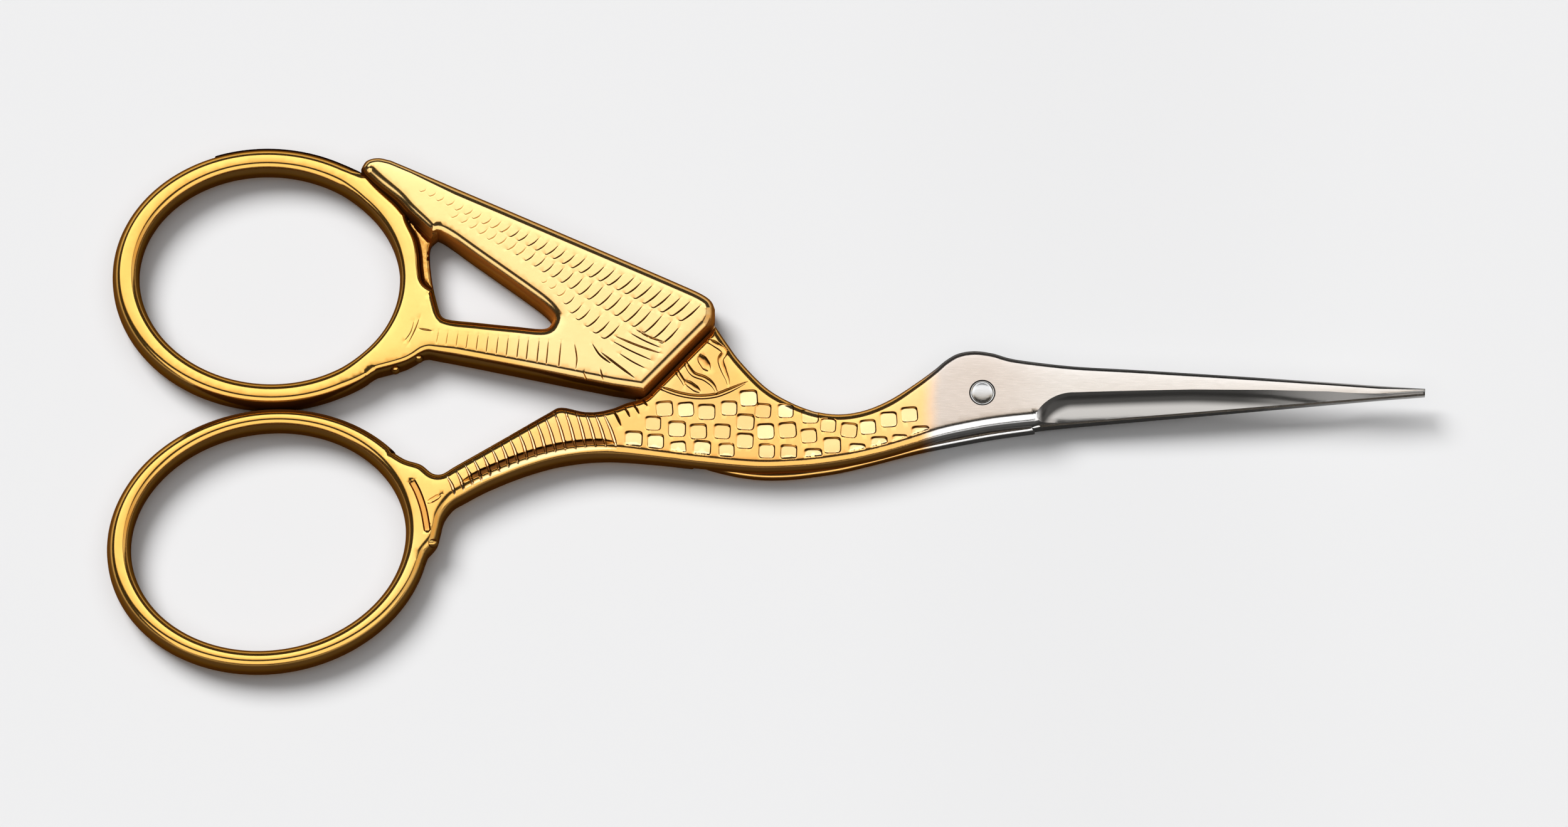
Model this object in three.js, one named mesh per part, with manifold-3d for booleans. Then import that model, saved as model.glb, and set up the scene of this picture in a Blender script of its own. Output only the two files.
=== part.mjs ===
// Stork embroidery scissors, closed and lying flat. Two forged halves cross at a rivet, the stork's eye.
// Millimetres. The origin is where the rivet's axis meets the surface that the scissors lie on.
// +X points along the blades to the tips, +Y to the side of the upper ring, and +Z up.

import * as THREE from "three";
import Module from "manifold-3d";

const wasm = await Module();
wasm.setup();

// Heights
const halfThickness = 2.0;
const ridingGap = 0.06;
const ringHeight = 3.8;
const wingHeight = 4.6;
const strutHeight = 3.9;
const legUnderside = 0.2;
const webLow = 0.9;
const webHigh = 2.9;
const webShare = 0.72;
const bladeTipThickness = 0.95;
const frontLow = halfThickness + ridingGap;
const frontHigh = frontLow + halfThickness;

// Blades and head
const bladeReach = 38.7;
const bladeStart = 5.0;
const rootSetback = 0.4;
const bladeRoot = bladeStart - rootSetback;
const spineAtStart = 2.62;
const edgeAtStart = -2.46;
const tipLine = 0.5;
const tipHalfWidth = 0.12;
const spineBelly = 0.08;
const headRise = 3.82;
const rearTuck = 0.13;
const rearSpineDrop = 0.15;
const grindRadius = 4.0;
const grindRunOut = 2.9;
const edgeThickness = 0.25;

// Finger rings: half axes of the hole and of the outside, in the plane
const upperRing = { x: -62.3, y: 10.55, holeX: 11.4, holeY: 9.45, outX: 13.75, outY: 11.6, tilt: -0.045 };
const lowerRing = { x: -62.3, holeX: 12.05, holeY: 9.8, outX: 14.15, outY: 11.65, tilt: 0.175 };
const ringGap = 0.1;
// The part of each ring's outside that stands free, counter-clockwise from one angle to the other, in degrees
const upperRingFree = [55, 311];
const lowerRingFree = [30, 337];
const webAngles = [-5, 28];

// Rivet
const rivetRadius = 0.9;
const rivetHeadRadius = 1.0;
const rivetTailRadius = 1.35;
const rivetClearance = 0.05;
const countersinkDepth = 0.4;
const sinkMargin = 0.15;
const domeRise = 0.12;
const domeShoulder = { radius: 0.72, drop: 0.25 };

// Body and wing
const tailStart = -56;
const rimBlend = 2;
const ringEdge = -50;
const legEnd = -46;
const strutEnd = -36;
const tailDepth = 1.5;
const bodyStart = -24;
const neckEnd = -8;
const headStart = -3;
const wingGap = 0.12;
const shoulderClearance = 0.45;

// How far the rounded rims reach in from the outline, and how far they drop
const ringRim = { width: 0.8, drop: 1.5 };
const tailRim = { width: 0.6, drop: 1.1 };
const wingRim = { width: 0.95, drop: 1.2 };
const legRim = { width: 0.8, drop: 1.1 };
const bodyRim = { width: 0.8, drop: 0.9 };
const headRim = { width: 0.45, drop: 0.45 };
const tipRim = { width: 0.08, drop: 0.15 };
const nearTipShare = 0.97;

// How far a cutting block reaches past what it cuts
const past = 1.0;

// Fineness
const rimSteps = 3;
const ringSides = 56;
const wheelSides = 72;
const wheelSteps = 10;
const splineStep = 1.1;
const turnedSides = 40;
// The wheel's path can't start as a point, so its first step is this share of a step along
const firstWheelStep = 0.1;
// Where an outline turns sharply, its rim's rows are set in by no more than the width over this
const leastStretch = 0.6;

// The lower ring hangs under the upper one, and their rims nearly touch when the scissors are closed.
const halfTall = (ring) => Math.hypot(ring.outX * Math.sin(ring.tilt), ring.outY * Math.cos(ring.tilt));
lowerRing.y = upperRing.y - halfTall(upperRing) - ringGap - halfTall(lowerRing);

// Outlines: points that a smooth curve passes through. A corner ends one curve and starts the next.
const bladeShare = (x) => (x - bladeStart) / (bladeReach - bladeStart);
const spineAt = (x) => {
  const share = bladeShare(x);
  const straight = THREE.MathUtils.lerp(spineAtStart, tipLine + tipHalfWidth, share);
  return straight + spineBelly * 4 * share * (1 - share);
};
const edgeAt = (x) => THREE.MathUtils.lerp(edgeAtStart, tipLine - tipHalfWidth, bladeShare(x));
const alongBlade = (edge, shares) => shares.map((share) => {
  const x = bladeStart + (bladeReach - bladeStart) * share;
  return [x, edge(x)];
});
const spineShares = [1, 0.75, 0.5, 0.25, 0.08];
const edgeShares = [0, 0.5, 1];
const rearSpineShares = [0.03, 0.5, 1];

const headTop = [[3.0, 3.05], [0.9, 3.62], [-0.7, headRise], [-2.1, 3.6], [-3.2, 2.98], [-4.2, 2.15]];
const napeLine = [
  [-5.8, 0.98], [-8.0, -0.43], [-10.2, -1.39], [-12.4, -1.76], [-14.6, -1.5], [-16.8, -0.66],
  [-18.95, 0.69], [-21.1, 2.94], [-22.3, 4.6], [-23.3, 6.1],
];
const upperLine = [...alongBlade(spineAt, spineShares), ...headTop, ...napeLine];
const earLine = [[-23.3, 6.1], [-28.75, 0.5]];
const legTop = [
  [-28.75, 0.5], [-29.4, -0.15], [-30.1, -0.5], [-31.0, -0.72], [-32.2, -1.2], [-33.6, -1.52],
  [-34.9, -1.5], [-36.8, -1.14], [-38.1, -1.75], [-42.0, -4.05], [-46.3, -6.55],
];
const footTop = [
  [-46.3, -6.55], [-47.2, -7.05], [-48.0, -6.95], [-49.0, -6.15], [-50.4, -5.65], [-51.6, -4.9],
];
const footLow = [
  [-48.35, -14.2], [-47.6, -13.3], [-47.3, -12.3], [-46.95, -11.0], [-46.2, -9.95], [-45.3, -9.38],
];
const belly = [
  [-45.3, -9.38], [-43.1, -8.2], [-39.8, -6.85], [-36.5, -5.95], [-32.9, -5.62], [-28.8, -5.9],
  [-24.4, -6.42], [-20.0, -6.82], [-17.3, -6.8], [-14.6, -6.6], [-11.8, -6.2], [-9.1, -5.6],
  [-6.4, -4.83], [-3.6, -3.95], [-0.3, -3.25], [1.9, -2.91], [bladeRoot, -2.62],
];
const rearBelly = [
  [-22.8, -6.55], [-21.1, -6.92], [-19.0, -7.14], [-16.8, -7.1], [-14.6, -6.85], [-12.4, -6.5],
  [-10.2, -5.98], [-8.0, -5.4], [-5.8, -4.8], [-3.6, -4.3], [-0.3, -3.65], [1.9, -3.28],
  [bladeRoot, -2.9],
];
const hiddenBack = [[-24.5, 7.0], [-31.5, 4.0], [-30.4, 0.4]];
const breastLine = [[-30.4, 0.4], [-29.7, -1.6], [-28.2, -3.6], [-26.2, -5.2], [-24.3, -6.1], [-22.8, -6.55]];

const wingBack = [
  [-23.35, 7.6], [-23.7, 8.35], [-24.6, 9.0], [-26.6, 9.93], [-31.0, 11.88], [-42.0, 16.72], [-50.7, 20.5],
  [-52.0, 21.0], [-53.0, 21.15], [-53.9, 20.85], [-54.4, 20.0],
];
// The wing's front edge runs beside the ear, and a little past its lower end
const besideEar = (share) => {
  const [start, end] = earLine.map(([x, y]) => new THREE.Vector2(x, y));
  const along = end.clone().sub(start);
  const across = new THREE.Vector2(along.y, -along.x).setLength(wingGap);
  return start.addScaledVector(along, share).add(across).toArray();
};
const wingTopShare = 0.07;
const wingFootShare = 1.12;
const wingTop = besideEar(wingTopShare);
const wingFoot = besideEar(wingFootShare);
const wingCorner = [-23.4, 6.6];
const strutUnder = [
  [-52.8, 2.0], [-51.6, 2.32], [-50.4, 2.7], [-49.6, 3.1], [-48.6, 3.62], [-47.4, 3.45],
  [-42.0, 2.35], [-36.5, 1.2], [-32.2, 0.33],
];
const openingTop = [[-37.5, 6.6], [-38.2, 7.45], [-39.8, 8.72], [-44.2, 11.9], [-46.8, 13.8], [-47.6, 14.25]];
const openingSide = [[-47.6, 14.25], [-48.2, 13.6], [-48.3, 12.4], [-48.1, 10.4], [-47.8, 8.9], [-47.4, 7.4]];
const openingLow = [[-47.4, 7.4], [-46.8, 6.85], [-44.2, 6.5], [-40.9, 6.1], [-38.2, 5.85], [-37.5, 6.6]];
const webEdge = [[-49.9, 16.0], [-47.0, 14.3], [-46.6, 12.4], [-46.6, 9.4], [-47.8, 8.7]];

// A smooth curve through a list of points, stepped evenly, without its last point
function curve(points) {
  const spline = new THREE.SplineCurve(points.map(([x, y]) => new THREE.Vector2(x, y)));
  const steps = Math.max(points.length - 1, Math.round(spline.getLength() / splineStep));
  return points.length < 3 ? spline.points.slice(0, -1) : spline.getSpacedPoints(steps).slice(0, -1);
}

const closedLine = (...curves) => curves.flatMap((points) => curve(points));

// Points of an ellipse round a ring's centre, between two angles. Share 0 is the hole and 1 the outside.
function ringArc(ring, share, from, to, sides) {
  const halfX = THREE.MathUtils.lerp(ring.holeX, ring.outX, share);
  const halfY = THREE.MathUtils.lerp(ring.holeY, ring.outY, share);
  const arc = new THREE.EllipseCurve(ring.x, ring.y, halfX, halfY, from, to, to < from, ring.tilt);
  return arc.getPoints(sides);
}

const ringHole = (ring) => ringArc(ring, 0, 0, 2 * Math.PI, ringSides).slice(0, -1).reverse();

function ringOutside(ring, [fromDegrees, toDegrees], share = 1) {
  const from = THREE.MathUtils.degToRad(fromDegrees);
  const to = THREE.MathUtils.degToRad(toDegrees);
  const sides = Math.ceil((Math.abs(to - from) / (2 * Math.PI)) * ringSides);
  return ringArc(ring, share, from, to, sides);
}

// Each point of an outline moved to the left of its direction of travel, which is into the material
function inset(points, widths) {
  return points.map((point, i) => {
    const before = points[(i + points.length - 1) % points.length];
    const after = points[(i + 1) % points.length];
    const arriving = point.clone().sub(before).normalize();
    const leaving = after.clone().sub(point).normalize();
    const inward = new THREE.Vector2(-arriving.y - leaving.y, arriving.x + leaving.x).normalize();
    const stretch = Math.max(inward.dot(new THREE.Vector2(-arriving.y, arriving.x)), leastStretch);
    return point.clone().addScaledVector(inward, widths[i] / stretch);
  });
}

// A plate between two heights. Its outline runs counter-clockwise and its holes clockwise. A rim is rounded
// as a quarter of an ellipse, and a side with no rim stays sharp. Heights and rims may change along it.
function plate(loops, { low, high, lowRim, highRim }) {
  const turns = Array.from({ length: rimSteps + 1 }, (_, k) => (k / rimSteps) * (Math.PI / 2));
  const positions = [];
  const triangles = [];
  const caps = { low: [], high: [] };
  const flat = () => ({ width: 0, drop: 0 });
  for (const loop of loops) {
    const rows = [];
    const addRow = (height, rim, turn, sign) => {
      const rims = loop.map((point) => rim(point.x, point.y));
      const moved = inset(loop, rims.map(({ width }) => width * (1 - Math.cos(turn))));
      rows.push(moved.map((point, i) => {
        const z = height(loop[i].x, loop[i].y) + sign * rims[i].drop * (1 - Math.sin(turn));
        positions.push(point.x, point.y, z);
        return positions.length / 3 - 1;
      }));
      return moved;
    };
    const lowTurns = lowRim ? [...turns].reverse() : [0];
    const highTurns = highRim ? turns : [0];
    lowTurns.forEach((turn, k) => {
      const moved = addRow(low, lowRim ?? flat, turn, 1);
      if (k === 0) caps.low.push({ points: moved, ids: rows[0] });
    });
    highTurns.forEach((turn, k) => {
      const moved = addRow(high, highRim ?? flat, turn, -1);
      if (k === highTurns.length - 1) caps.high.push({ points: moved, ids: rows.at(-1) });
    });
    for (let r = 0; r + 1 < rows.length; r += 1) {
      for (let i = 0; i < loop.length; i += 1) {
        const j = (i + 1) % loop.length;
        triangles.push(rows[r][i], rows[r][j], rows[r + 1][j], rows[r][i], rows[r + 1][j], rows[r + 1][i]);
      }
    }
  }
  for (const [side, cap] of Object.entries(caps)) {
    const ids = cap.flatMap((loop) => loop.ids);
    const [outer, ...holes] = cap.map((loop) => loop.points);
    for (const [a, b, c] of THREE.ShapeUtils.triangulateShape(outer, holes)) {
      const corners = side === "high" ? [a, b, c] : [a, c, b];
      triangles.push(...corners.map((corner) => ids[corner]));
    }
  }
  return solid(positions, triangles);
}

function solid(positions, triangles) {
  const mesh = new wasm.Mesh({
    numProp: 3,
    vertProperties: new Float32Array(positions),
    triVerts: new Uint32Array(triangles),
  });
  return new wasm.Manifold(mesh);
}

// A solid from one of three's own closed geometries
function fromGeometry(geometry) {
  const vertices = [];
  const numbers = new Map();
  const place = geometry.getAttribute("position");
  const ids = Array.from({ length: place.count }, (_, i) => {
    const corner = [place.getX(i), place.getY(i), place.getZ(i)];
    const key = corner.map((value) => Math.round(value * 1e5)).join();
    if (!numbers.has(key)) {
      numbers.set(key, vertices.length / 3);
      vertices.push(...corner);
    }
    return numbers.get(key);
  });
  const order = geometry.index ? Array.from(geometry.index.array, (i) => ids[i]) : ids;
  const triangles = [];
  for (let i = 0; i < order.length; i += 3) {
    const [a, b, c] = order.slice(i, i + 3);
    if (a !== b && b !== c && c !== a) triangles.push(a, b, c);
  }
  return solid(vertices, triangles);
}

// A straight-sided block over an outline, for cutting
function block(points, low, high) {
  const shape = new THREE.Shape(points.map(([x, y]) => new THREE.Vector2(x, y)));
  const geometry = new THREE.ExtrudeGeometry(shape, { depth: high - low, bevelEnabled: false });
  return fromGeometry(geometry.translate(0, 0, low));
}

// A turned piece standing on the rivet's axis
function turned(profile, sides = turnedSides) {
  const points = profile.map(([radius, z]) => new THREE.Vector2(radius, z));
  return fromGeometry(new THREE.LatheGeometry(points, sides).rotateX(Math.PI / 2));
}

// Blends between values given at stations along the scissors
function stations(...list) {
  return (x) => {
    const next = list.findIndex((station) => station[0] >= x);
    if (next < 0) return list.at(-1)[1];
    if (next === 0) return list[0][1];
    const [from, a] = list[next - 1];
    const [to, b] = list[next];
    const share = (x - from) / (to - from);
    if (typeof a === "number") return a + (b - a) * share;
    const blend = (key) => THREE.MathUtils.lerp(a[key], b[key], share);
    return { width: blend("width"), drop: blend("drop") };
  };
}

const always = (value) => () => value;

// The bladed end thins towards the tips, away from the plane where the halves slide on each other.
const tipLoss = halfThickness - bladeTipThickness;
const nearTip = bladeReach * nearTipShare;
const frontTop = stations(
  [ringEdge, ringHeight], [legEnd, frontHigh], [bladeStart, frontHigh], [bladeReach, frontHigh - tipLoss],
);
const frontUnder = stations([ringEdge, 0], [legEnd, legUnderside]);
const rearUnder = stations([bladeStart, 0], [bladeReach, tipLoss]);
const rimAt = stations(
  [ringEdge, ringRim], [legEnd, legRim], [bodyStart, bodyRim], [neckEnd, bodyRim], [headStart, headRim],
  [bladeStart, headRim], [nearTip, tipRim],
);
const wingRimAt = stations(
  [tailStart, ringRim], [tailStart + rimBlend, tailRim], [ringEdge, tailRim], [legEnd, wingRim],
);
// How much of the blade's width the hollow takes, from its root to where it runs out before the tip
const hollowWidth = stations([0, 0.5], [0.4, 0.55], [0.6, 0.53], [0.75, 0.42], [0.9, 0]);

// A solid through rings of points that run from +Y towards +Z, closed by a flat fan at each end
function loft(rings) {
  const sides = rings[0].length;
  const positions = rings.flat().flatMap((point) => point.toArray());
  const triangles = [];
  for (let r = 0; r + 1 < rings.length; r += 1) {
    for (let i = 0; i < sides; i += 1) {
      const [a, b] = [r * sides + i, r * sides + (i + 1) % sides];
      triangles.push(a, b, b + sides, a, b + sides, a + sides);
    }
  }
  const last = (rings.length - 1) * sides;
  for (let i = 1; i + 1 < sides; i += 1) triangles.push(0, i + 1, i, last, last + i, last + i + 1);
  return solid(positions, triangles);
}

// The hollow that a grinding wheel leaves, from the flat beside the spine down to the cutting edge.
// The wheel's path starts with a round end, which is the plunge line behind the hollow.
function grind({ edge, edgeLevel, back, flatLevel }) {
  const ring = (x, radius, centreX) => {
    const sharp = new THREE.Vector2(edge(centreX), edgeLevel);
    const flat = THREE.MathUtils.lerp(edge(centreX), back(centreX), hollowWidth(bladeShare(centreX)));
    const chord = new THREE.Vector2(flat, flatLevel(centreX)).sub(sharp);
    const away = new THREE.Vector2(-chord.y, chord.x).normalize();
    const reach = Math.sqrt(grindRadius ** 2 - chord.lengthSq() / 4);
    const centre = sharp.addScaledVector(chord, 0.5).addScaledVector(away, reach);
    return Array.from({ length: wheelSides }, (_, i) => {
      const turn = (i / wheelSides) * 2 * Math.PI;
      return new THREE.Vector3(x, centre.x + radius * Math.cos(turn), centre.y + radius * Math.sin(turn));
    });
  };
  const start = bladeStart + grindRunOut;
  const roundEnd = Array.from({ length: wheelSteps }, (_, k) => {
    const turn = ((k + firstWheelStep) / wheelSteps) * (Math.PI / 2);
    return ring(start - grindRadius * Math.cos(turn), grindRadius * Math.sin(turn), start);
  });
  const path = Array.from({ length: wheelSteps + 1 }, (_, k) => {
    const x = THREE.MathUtils.lerp(start, bladeReach + past, k / wheelSteps);
    return ring(x, grindRadius, x);
  });
  return loft([...roundEnd, ...path]);
}

const pinHole = rivetRadius + rivetClearance;
const sinkRadius = rivetHeadRadius + sinkMargin;
const tailHole = rivetTailRadius + rivetClearance;
const frontHole = turned([
  [0, frontLow - past], [pinHole, frontLow - past], [pinHole, frontHigh - countersinkDepth],
  [sinkRadius, frontHigh], [sinkRadius, frontHigh + past], [0, frontHigh + past],
]);
const rearHole = turned([
  [0, -past], [tailHole, -past], [tailHole, 0],
  [pinHole, countersinkDepth + rivetClearance], [pinHole, halfThickness + past], [0, halfThickness + past],
]);

// Front half: the lower ring, the stork's leg, its body, neck and head, and the upper blade
function frontHalf() {
  const outline = [
    ...closedLine(upperLine, earLine, legTop, footTop),
    ...ringOutside(lowerRing, lowerRingFree),
    ...closedLine(footLow, belly, alongBlade(edgeAt, edgeShares)),
    new THREE.Vector2(bladeReach, edgeAt(bladeReach)),
  ];
  const forged = plate([outline, ringHole(lowerRing)], {
    low: frontUnder,
    high: frontTop,
    lowRim: rimAt,
    highRim: rimAt,
  });
  const shoulder = breastLine.map(([x, y]) => [x - shoulderClearance, y - shoulderClearance]);
  const far = bladeReach + past;
  const below = Math.min(...belly.map(([, y]) => y)) - past;
  const above = earLine[0][1] + past;
  const milled = [
    ...shoulder, [shoulder.at(-1)[0], below], [far, below], [far, above], [shoulder[0][0], above],
  ];
  const hollow = grind({
    edge: edgeAt,
    edgeLevel: frontLow + edgeThickness,
    back: spineAt,
    flatLevel: frontTop,
  });
  return forged.subtract(block(milled, -past, frontLow)).subtract(hollow).subtract(frontHole);
}

// Rear half: the upper ring, the wing and its strut round a triangle, the body behind, and the lower blade
function rearHalf() {
  const wingOutline = [
    ...closedLine(strutUnder, [strutUnder.at(-1), wingFoot], [wingFoot, wingTop]),
    ...closedLine([wingTop, wingCorner, wingBack[0]], wingBack),
    ...ringOutside(upperRing, upperRingFree),
  ];
  const opening = closedLine(openingTop, openingSide, openingLow).reverse();
  const strutTop = stations([ringEdge, strutHeight], [strutEnd, wingHeight]);
  const [tailX, tailY] = wingBack.at(-1);
  const wing = plate([wingOutline, ringHole(upperRing), opening], {
    low: always(0),
    high: (x, y) => {
      if (x < ringEdge) return y > tailY - tailDepth && x > tailX ? wingHeight : ringHeight;
      return y > openingTop[0][1] ? wingHeight : strutTop(x);
    },
    lowRim: wingRimAt,
    highRim: wingRimAt,
  });
  const web = [...webEdge, ...ringOutside(upperRing, webAngles, webShare).map((point) => point.toArray())];
  const webBlock = (low, high) => block(web, low, high);
  const webTop = webBlock(webHigh, wingHeight + past);
  const webBottom = webBlock(-past, webLow);
  const tucked = upperLine.map(([x, y]) => [x, y - rearTuck]);
  const rearSpine = (x) => edgeAt(x) - rearSpineDrop;
  const bodyOutline = [
    ...closedLine(tucked),
    ...closedLine([tucked.at(-1), ...hiddenBack], breastLine, rearBelly),
    ...closedLine([rearBelly.at(-1), ...alongBlade(rearSpine, rearSpineShares)]),
    new THREE.Vector2(bladeReach, rearSpine(bladeReach)),
  ];
  const body = plate([bodyOutline], { low: rearUnder, high: always(halfThickness), lowRim: rimAt });
  const hollow = grind({
    edge: (x) => spineAt(x) - rearTuck,
    edgeLevel: halfThickness - edgeThickness,
    back: rearSpine,
    flatLevel: rearUnder,
  });
  return wing.subtract(webTop).subtract(webBottom).add(body.subtract(hollow)).subtract(rearHole);
}

// Rivet: a plain pin, spread flush underneath and into a shallow dome on top
function pivotRivet() {
  const headLow = frontHigh - countersinkDepth;
  return turned([
    [0, 0], [rivetTailRadius, 0], [rivetRadius, countersinkDepth], [rivetRadius, headLow],
    [rivetHeadRadius, frontHigh - domeRise],
    [rivetHeadRadius * domeShoulder.radius, frontHigh - domeRise * domeShoulder.drop],
    [0, frontHigh],
  ]);
}

const goldPlate = new THREE.MeshStandardMaterial({ color: 0xd9a441, roughness: 0.18, metalness: 1 });
const bareSteel = new THREE.MeshStandardMaterial({ color: 0xc9c6c2, roughness: 0.3, metalness: 1 });

function node(name, body, material) {
  const { vertProperties, triVerts, numProp } = body.getMesh();
  const geometry = new THREE.BufferGeometry();
  const place = new Float32Array((vertProperties.length / numProp) * 3);
  for (let i = 0; i < place.length / 3; i += 1) {
    place.set(vertProperties.subarray(i * numProp, i * numProp + 3), i * 3);
  }
  geometry.setAttribute("position", new THREE.BufferAttribute(place, 3));
  geometry.setIndex(Array.from(triVerts));
  const mesh = new THREE.Mesh(geometry, material);
  mesh.name = name;
  return mesh;
}

const scissors = new THREE.Group();
scissors.add(node("front_half", frontHalf(), goldPlate));
scissors.add(node("rear_half", rearHalf(), goldPlate));
scissors.add(node("pivot_rivet", pivotRivet(), bareSteel));

export default scissors;
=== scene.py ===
"""The looks of a pair of stork embroidery scissors: two forged and engraved halves on a rivet.

Sizes are in millimetres, as the forging is drawn, and MM turns them into the scene's metres.
"""
import math

import bpy
import numpy as np
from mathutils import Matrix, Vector, geometry, kdtree


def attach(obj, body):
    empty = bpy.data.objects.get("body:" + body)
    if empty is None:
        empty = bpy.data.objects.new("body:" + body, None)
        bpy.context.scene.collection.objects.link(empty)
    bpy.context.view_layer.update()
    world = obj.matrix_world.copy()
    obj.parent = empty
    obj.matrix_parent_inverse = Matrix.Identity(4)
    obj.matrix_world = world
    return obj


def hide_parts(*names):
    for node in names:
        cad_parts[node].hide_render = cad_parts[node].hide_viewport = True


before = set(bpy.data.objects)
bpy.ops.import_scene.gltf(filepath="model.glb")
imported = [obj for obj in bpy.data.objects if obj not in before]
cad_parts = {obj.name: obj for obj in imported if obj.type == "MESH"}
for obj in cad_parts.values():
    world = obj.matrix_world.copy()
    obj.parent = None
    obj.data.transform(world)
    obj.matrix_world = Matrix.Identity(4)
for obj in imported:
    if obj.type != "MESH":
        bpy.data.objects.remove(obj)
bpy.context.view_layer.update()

MM = 0.001
rng = np.random.default_rng(7)

# Heights
HALF_THICKNESS = 2.0
RIDING_GAP = 0.06
RING_HEIGHT = 3.8
WING_HEIGHT = 4.6
LEG_UNDERSIDE = 0.2
WEB_LOW = 0.9
WEB_HIGH = 2.9
BLADE_TIP_THICKNESS = 0.95
FRONT_LOW = HALF_THICKNESS + RIDING_GAP
FRONT_HIGH = FRONT_LOW + HALF_THICKNESS
TIP_LOSS = HALF_THICKNESS - BLADE_TIP_THICKNESS

# Blades and head
BLADE_REACH = 38.7
BLADE_START = 5.0
SPINE_AT_START = 2.62
EDGE_AT_START = -2.46
TIP_LINE = 0.5
TIP_HALF_WIDTH = 0.12
SPINE_BELLY = 0.08
REAR_TUCK = 0.13
REAR_SPINE_DROP = 0.15
GRIND_RADIUS = 4.7
GRIND_RUN_OUT = 3.1
EDGE_THICKNESS = 0.1

# Rivet
RIVET_RADIUS = 0.9
RIVET_HEAD_RADIUS = 1.0
RIVET_TAIL_RADIUS = 1.35
RIVET_CLEARANCE = 0.05
PIN_HOLE_RADIUS = RIVET_RADIUS + RIVET_CLEARANCE
COUNTERSINK_DEPTH = 0.4
SINK_MARGIN = 0.15

# Fineness of the meshes, and how far their points keep from the lines and from each other
OUTLINE_STEP = 0.17
GRID_STEP = 0.42
STROKE_STEP = 0.12
FINE_STROKE = 0.11
GUARD = 0.045
LINE_MARGIN = 0.06
FINE_GAP = 0.03
COARSE_GAP = 0.14
RIM_TURNS = np.radians([9, 20, 32, 44, 56, 67, 77, 84, 90])
SHARP_ANGLE = math.radians(38)
# How far a cutting body reaches past what it cuts
PAST = 1.0


def lerp(a, b, share):
    return a + (b - a) * share


def rotated(points, angle, middle=(0, 0)):
    """Points turned about the origin, which then moves to the middle"""
    x, y = points.T
    cos, sin = math.cos(angle), math.sin(angle)
    return np.column_stack([middle[0] + x * cos - y * sin, middle[1] + x * sin + y * cos])


class Ring:
    """A finger ring: the half axes of its hole and of its outside, and its tilt in the plane"""

    def __init__(self, x, hole, outside, tilt, y=0.0):
        self.x = x
        self.y = y
        self.axes = {"hole": hole, "outside": outside}
        self.tilt = tilt
        self.half_tall = math.hypot(outside[0] * math.sin(tilt), outside[1] * math.cos(tilt))

    def arc(self, edge, start, end):
        """Points along the hole or the outside, from one angle to another in degrees"""
        half_x, half_y = self.axes[edge]
        sides = math.ceil(math.radians(abs(end - start)) * (half_x + half_y) / 2 / OUTLINE_STEP)
        turn = np.radians(np.linspace(start, end, sides + 1))
        ellipse = np.column_stack([half_x * np.cos(turn), half_y * np.sin(turn)])
        return rotated(ellipse, self.tilt, (self.x, self.y))


RING_GAP = 0.1
UPPER_RING = Ring(-62.3, (11.4, 9.45), (13.75, 11.6), -0.045, y=10.55)
LOWER_RING = Ring(-62.3, (12.05, 9.8), (14.15, 11.65), 0.175)
LOWER_RING.y = UPPER_RING.y - UPPER_RING.half_tall - RING_GAP - LOWER_RING.half_tall


# Outlines: points that a smooth curve passes through. A corner ends one curve and starts the next.
def blade_share(x):
    return (x - BLADE_START) / (BLADE_REACH - BLADE_START)


def spine_at(x):
    share = blade_share(x)
    straight = lerp(SPINE_AT_START, TIP_LINE + TIP_HALF_WIDTH, share)
    return straight + SPINE_BELLY * 4 * share * (1 - share)


def edge_at(x):
    return lerp(EDGE_AT_START, TIP_LINE - TIP_HALF_WIDTH, blade_share(x))


def rear_edge_at(x):
    return spine_at(x) - REAR_TUCK


def rear_spine_at(x):
    return edge_at(x) - REAR_SPINE_DROP


def along_blade(line, shares):
    return [(x, line(x)) for x in (lerp(BLADE_START, BLADE_REACH, share) for share in shares)]


BLADE_ROOT = BLADE_START - 0.4
HEAD_TOP = [(3.0, 3.05), (0.9, 3.62), (-0.7, 3.82), (-2.1, 3.6), (-3.2, 2.98), (-4.2, 2.15)]
NAPE = [
    (-5.8, 0.98), (-8.0, -0.43), (-10.2, -1.39), (-12.4, -1.76), (-14.6, -1.5), (-16.8, -0.66),
    (-18.95, 0.69), (-21.1, 2.94), (-22.3, 4.6), (-23.3, 6.1),
]
UPPER_LINE = along_blade(spine_at, [1, 0.75, 0.5, 0.25, 0.08]) + HEAD_TOP + NAPE
EAR_LINE = [(-23.3, 6.1), (-28.75, 0.5)]
LEG_TOP = [
    (-28.75, 0.5), (-29.4, -0.15), (-30.1, -0.5), (-31.0, -0.72), (-32.2, -1.2), (-33.6, -1.52),
    (-34.9, -1.5), (-36.8, -1.14), (-38.1, -1.75), (-42.0, -4.05), (-46.3, -6.55),
]
FOOT_TOP = [(-46.3, -6.55), (-47.2, -7.05), (-48.0, -6.95), (-49.0, -6.15), (-50.4, -5.65), (-51.6, -4.9)]
FOOT_LOW = [(-48.35, -14.2), (-47.6, -13.3), (-47.3, -12.3), (-46.95, -11.0), (-46.2, -9.95), (-45.3, -9.38)]
BELLY = [
    (-45.3, -9.38), (-43.1, -8.2), (-39.8, -6.85), (-36.5, -5.95), (-32.9, -5.62), (-28.8, -5.9),
    (-24.4, -6.42), (-20.0, -6.82), (-17.3, -6.8), (-14.6, -6.6), (-11.8, -6.2), (-9.1, -5.6),
    (-6.4, -4.83), (-3.6, -3.95), (-0.3, -3.25), (1.9, -2.91), (BLADE_ROOT, -2.62),
]
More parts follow.
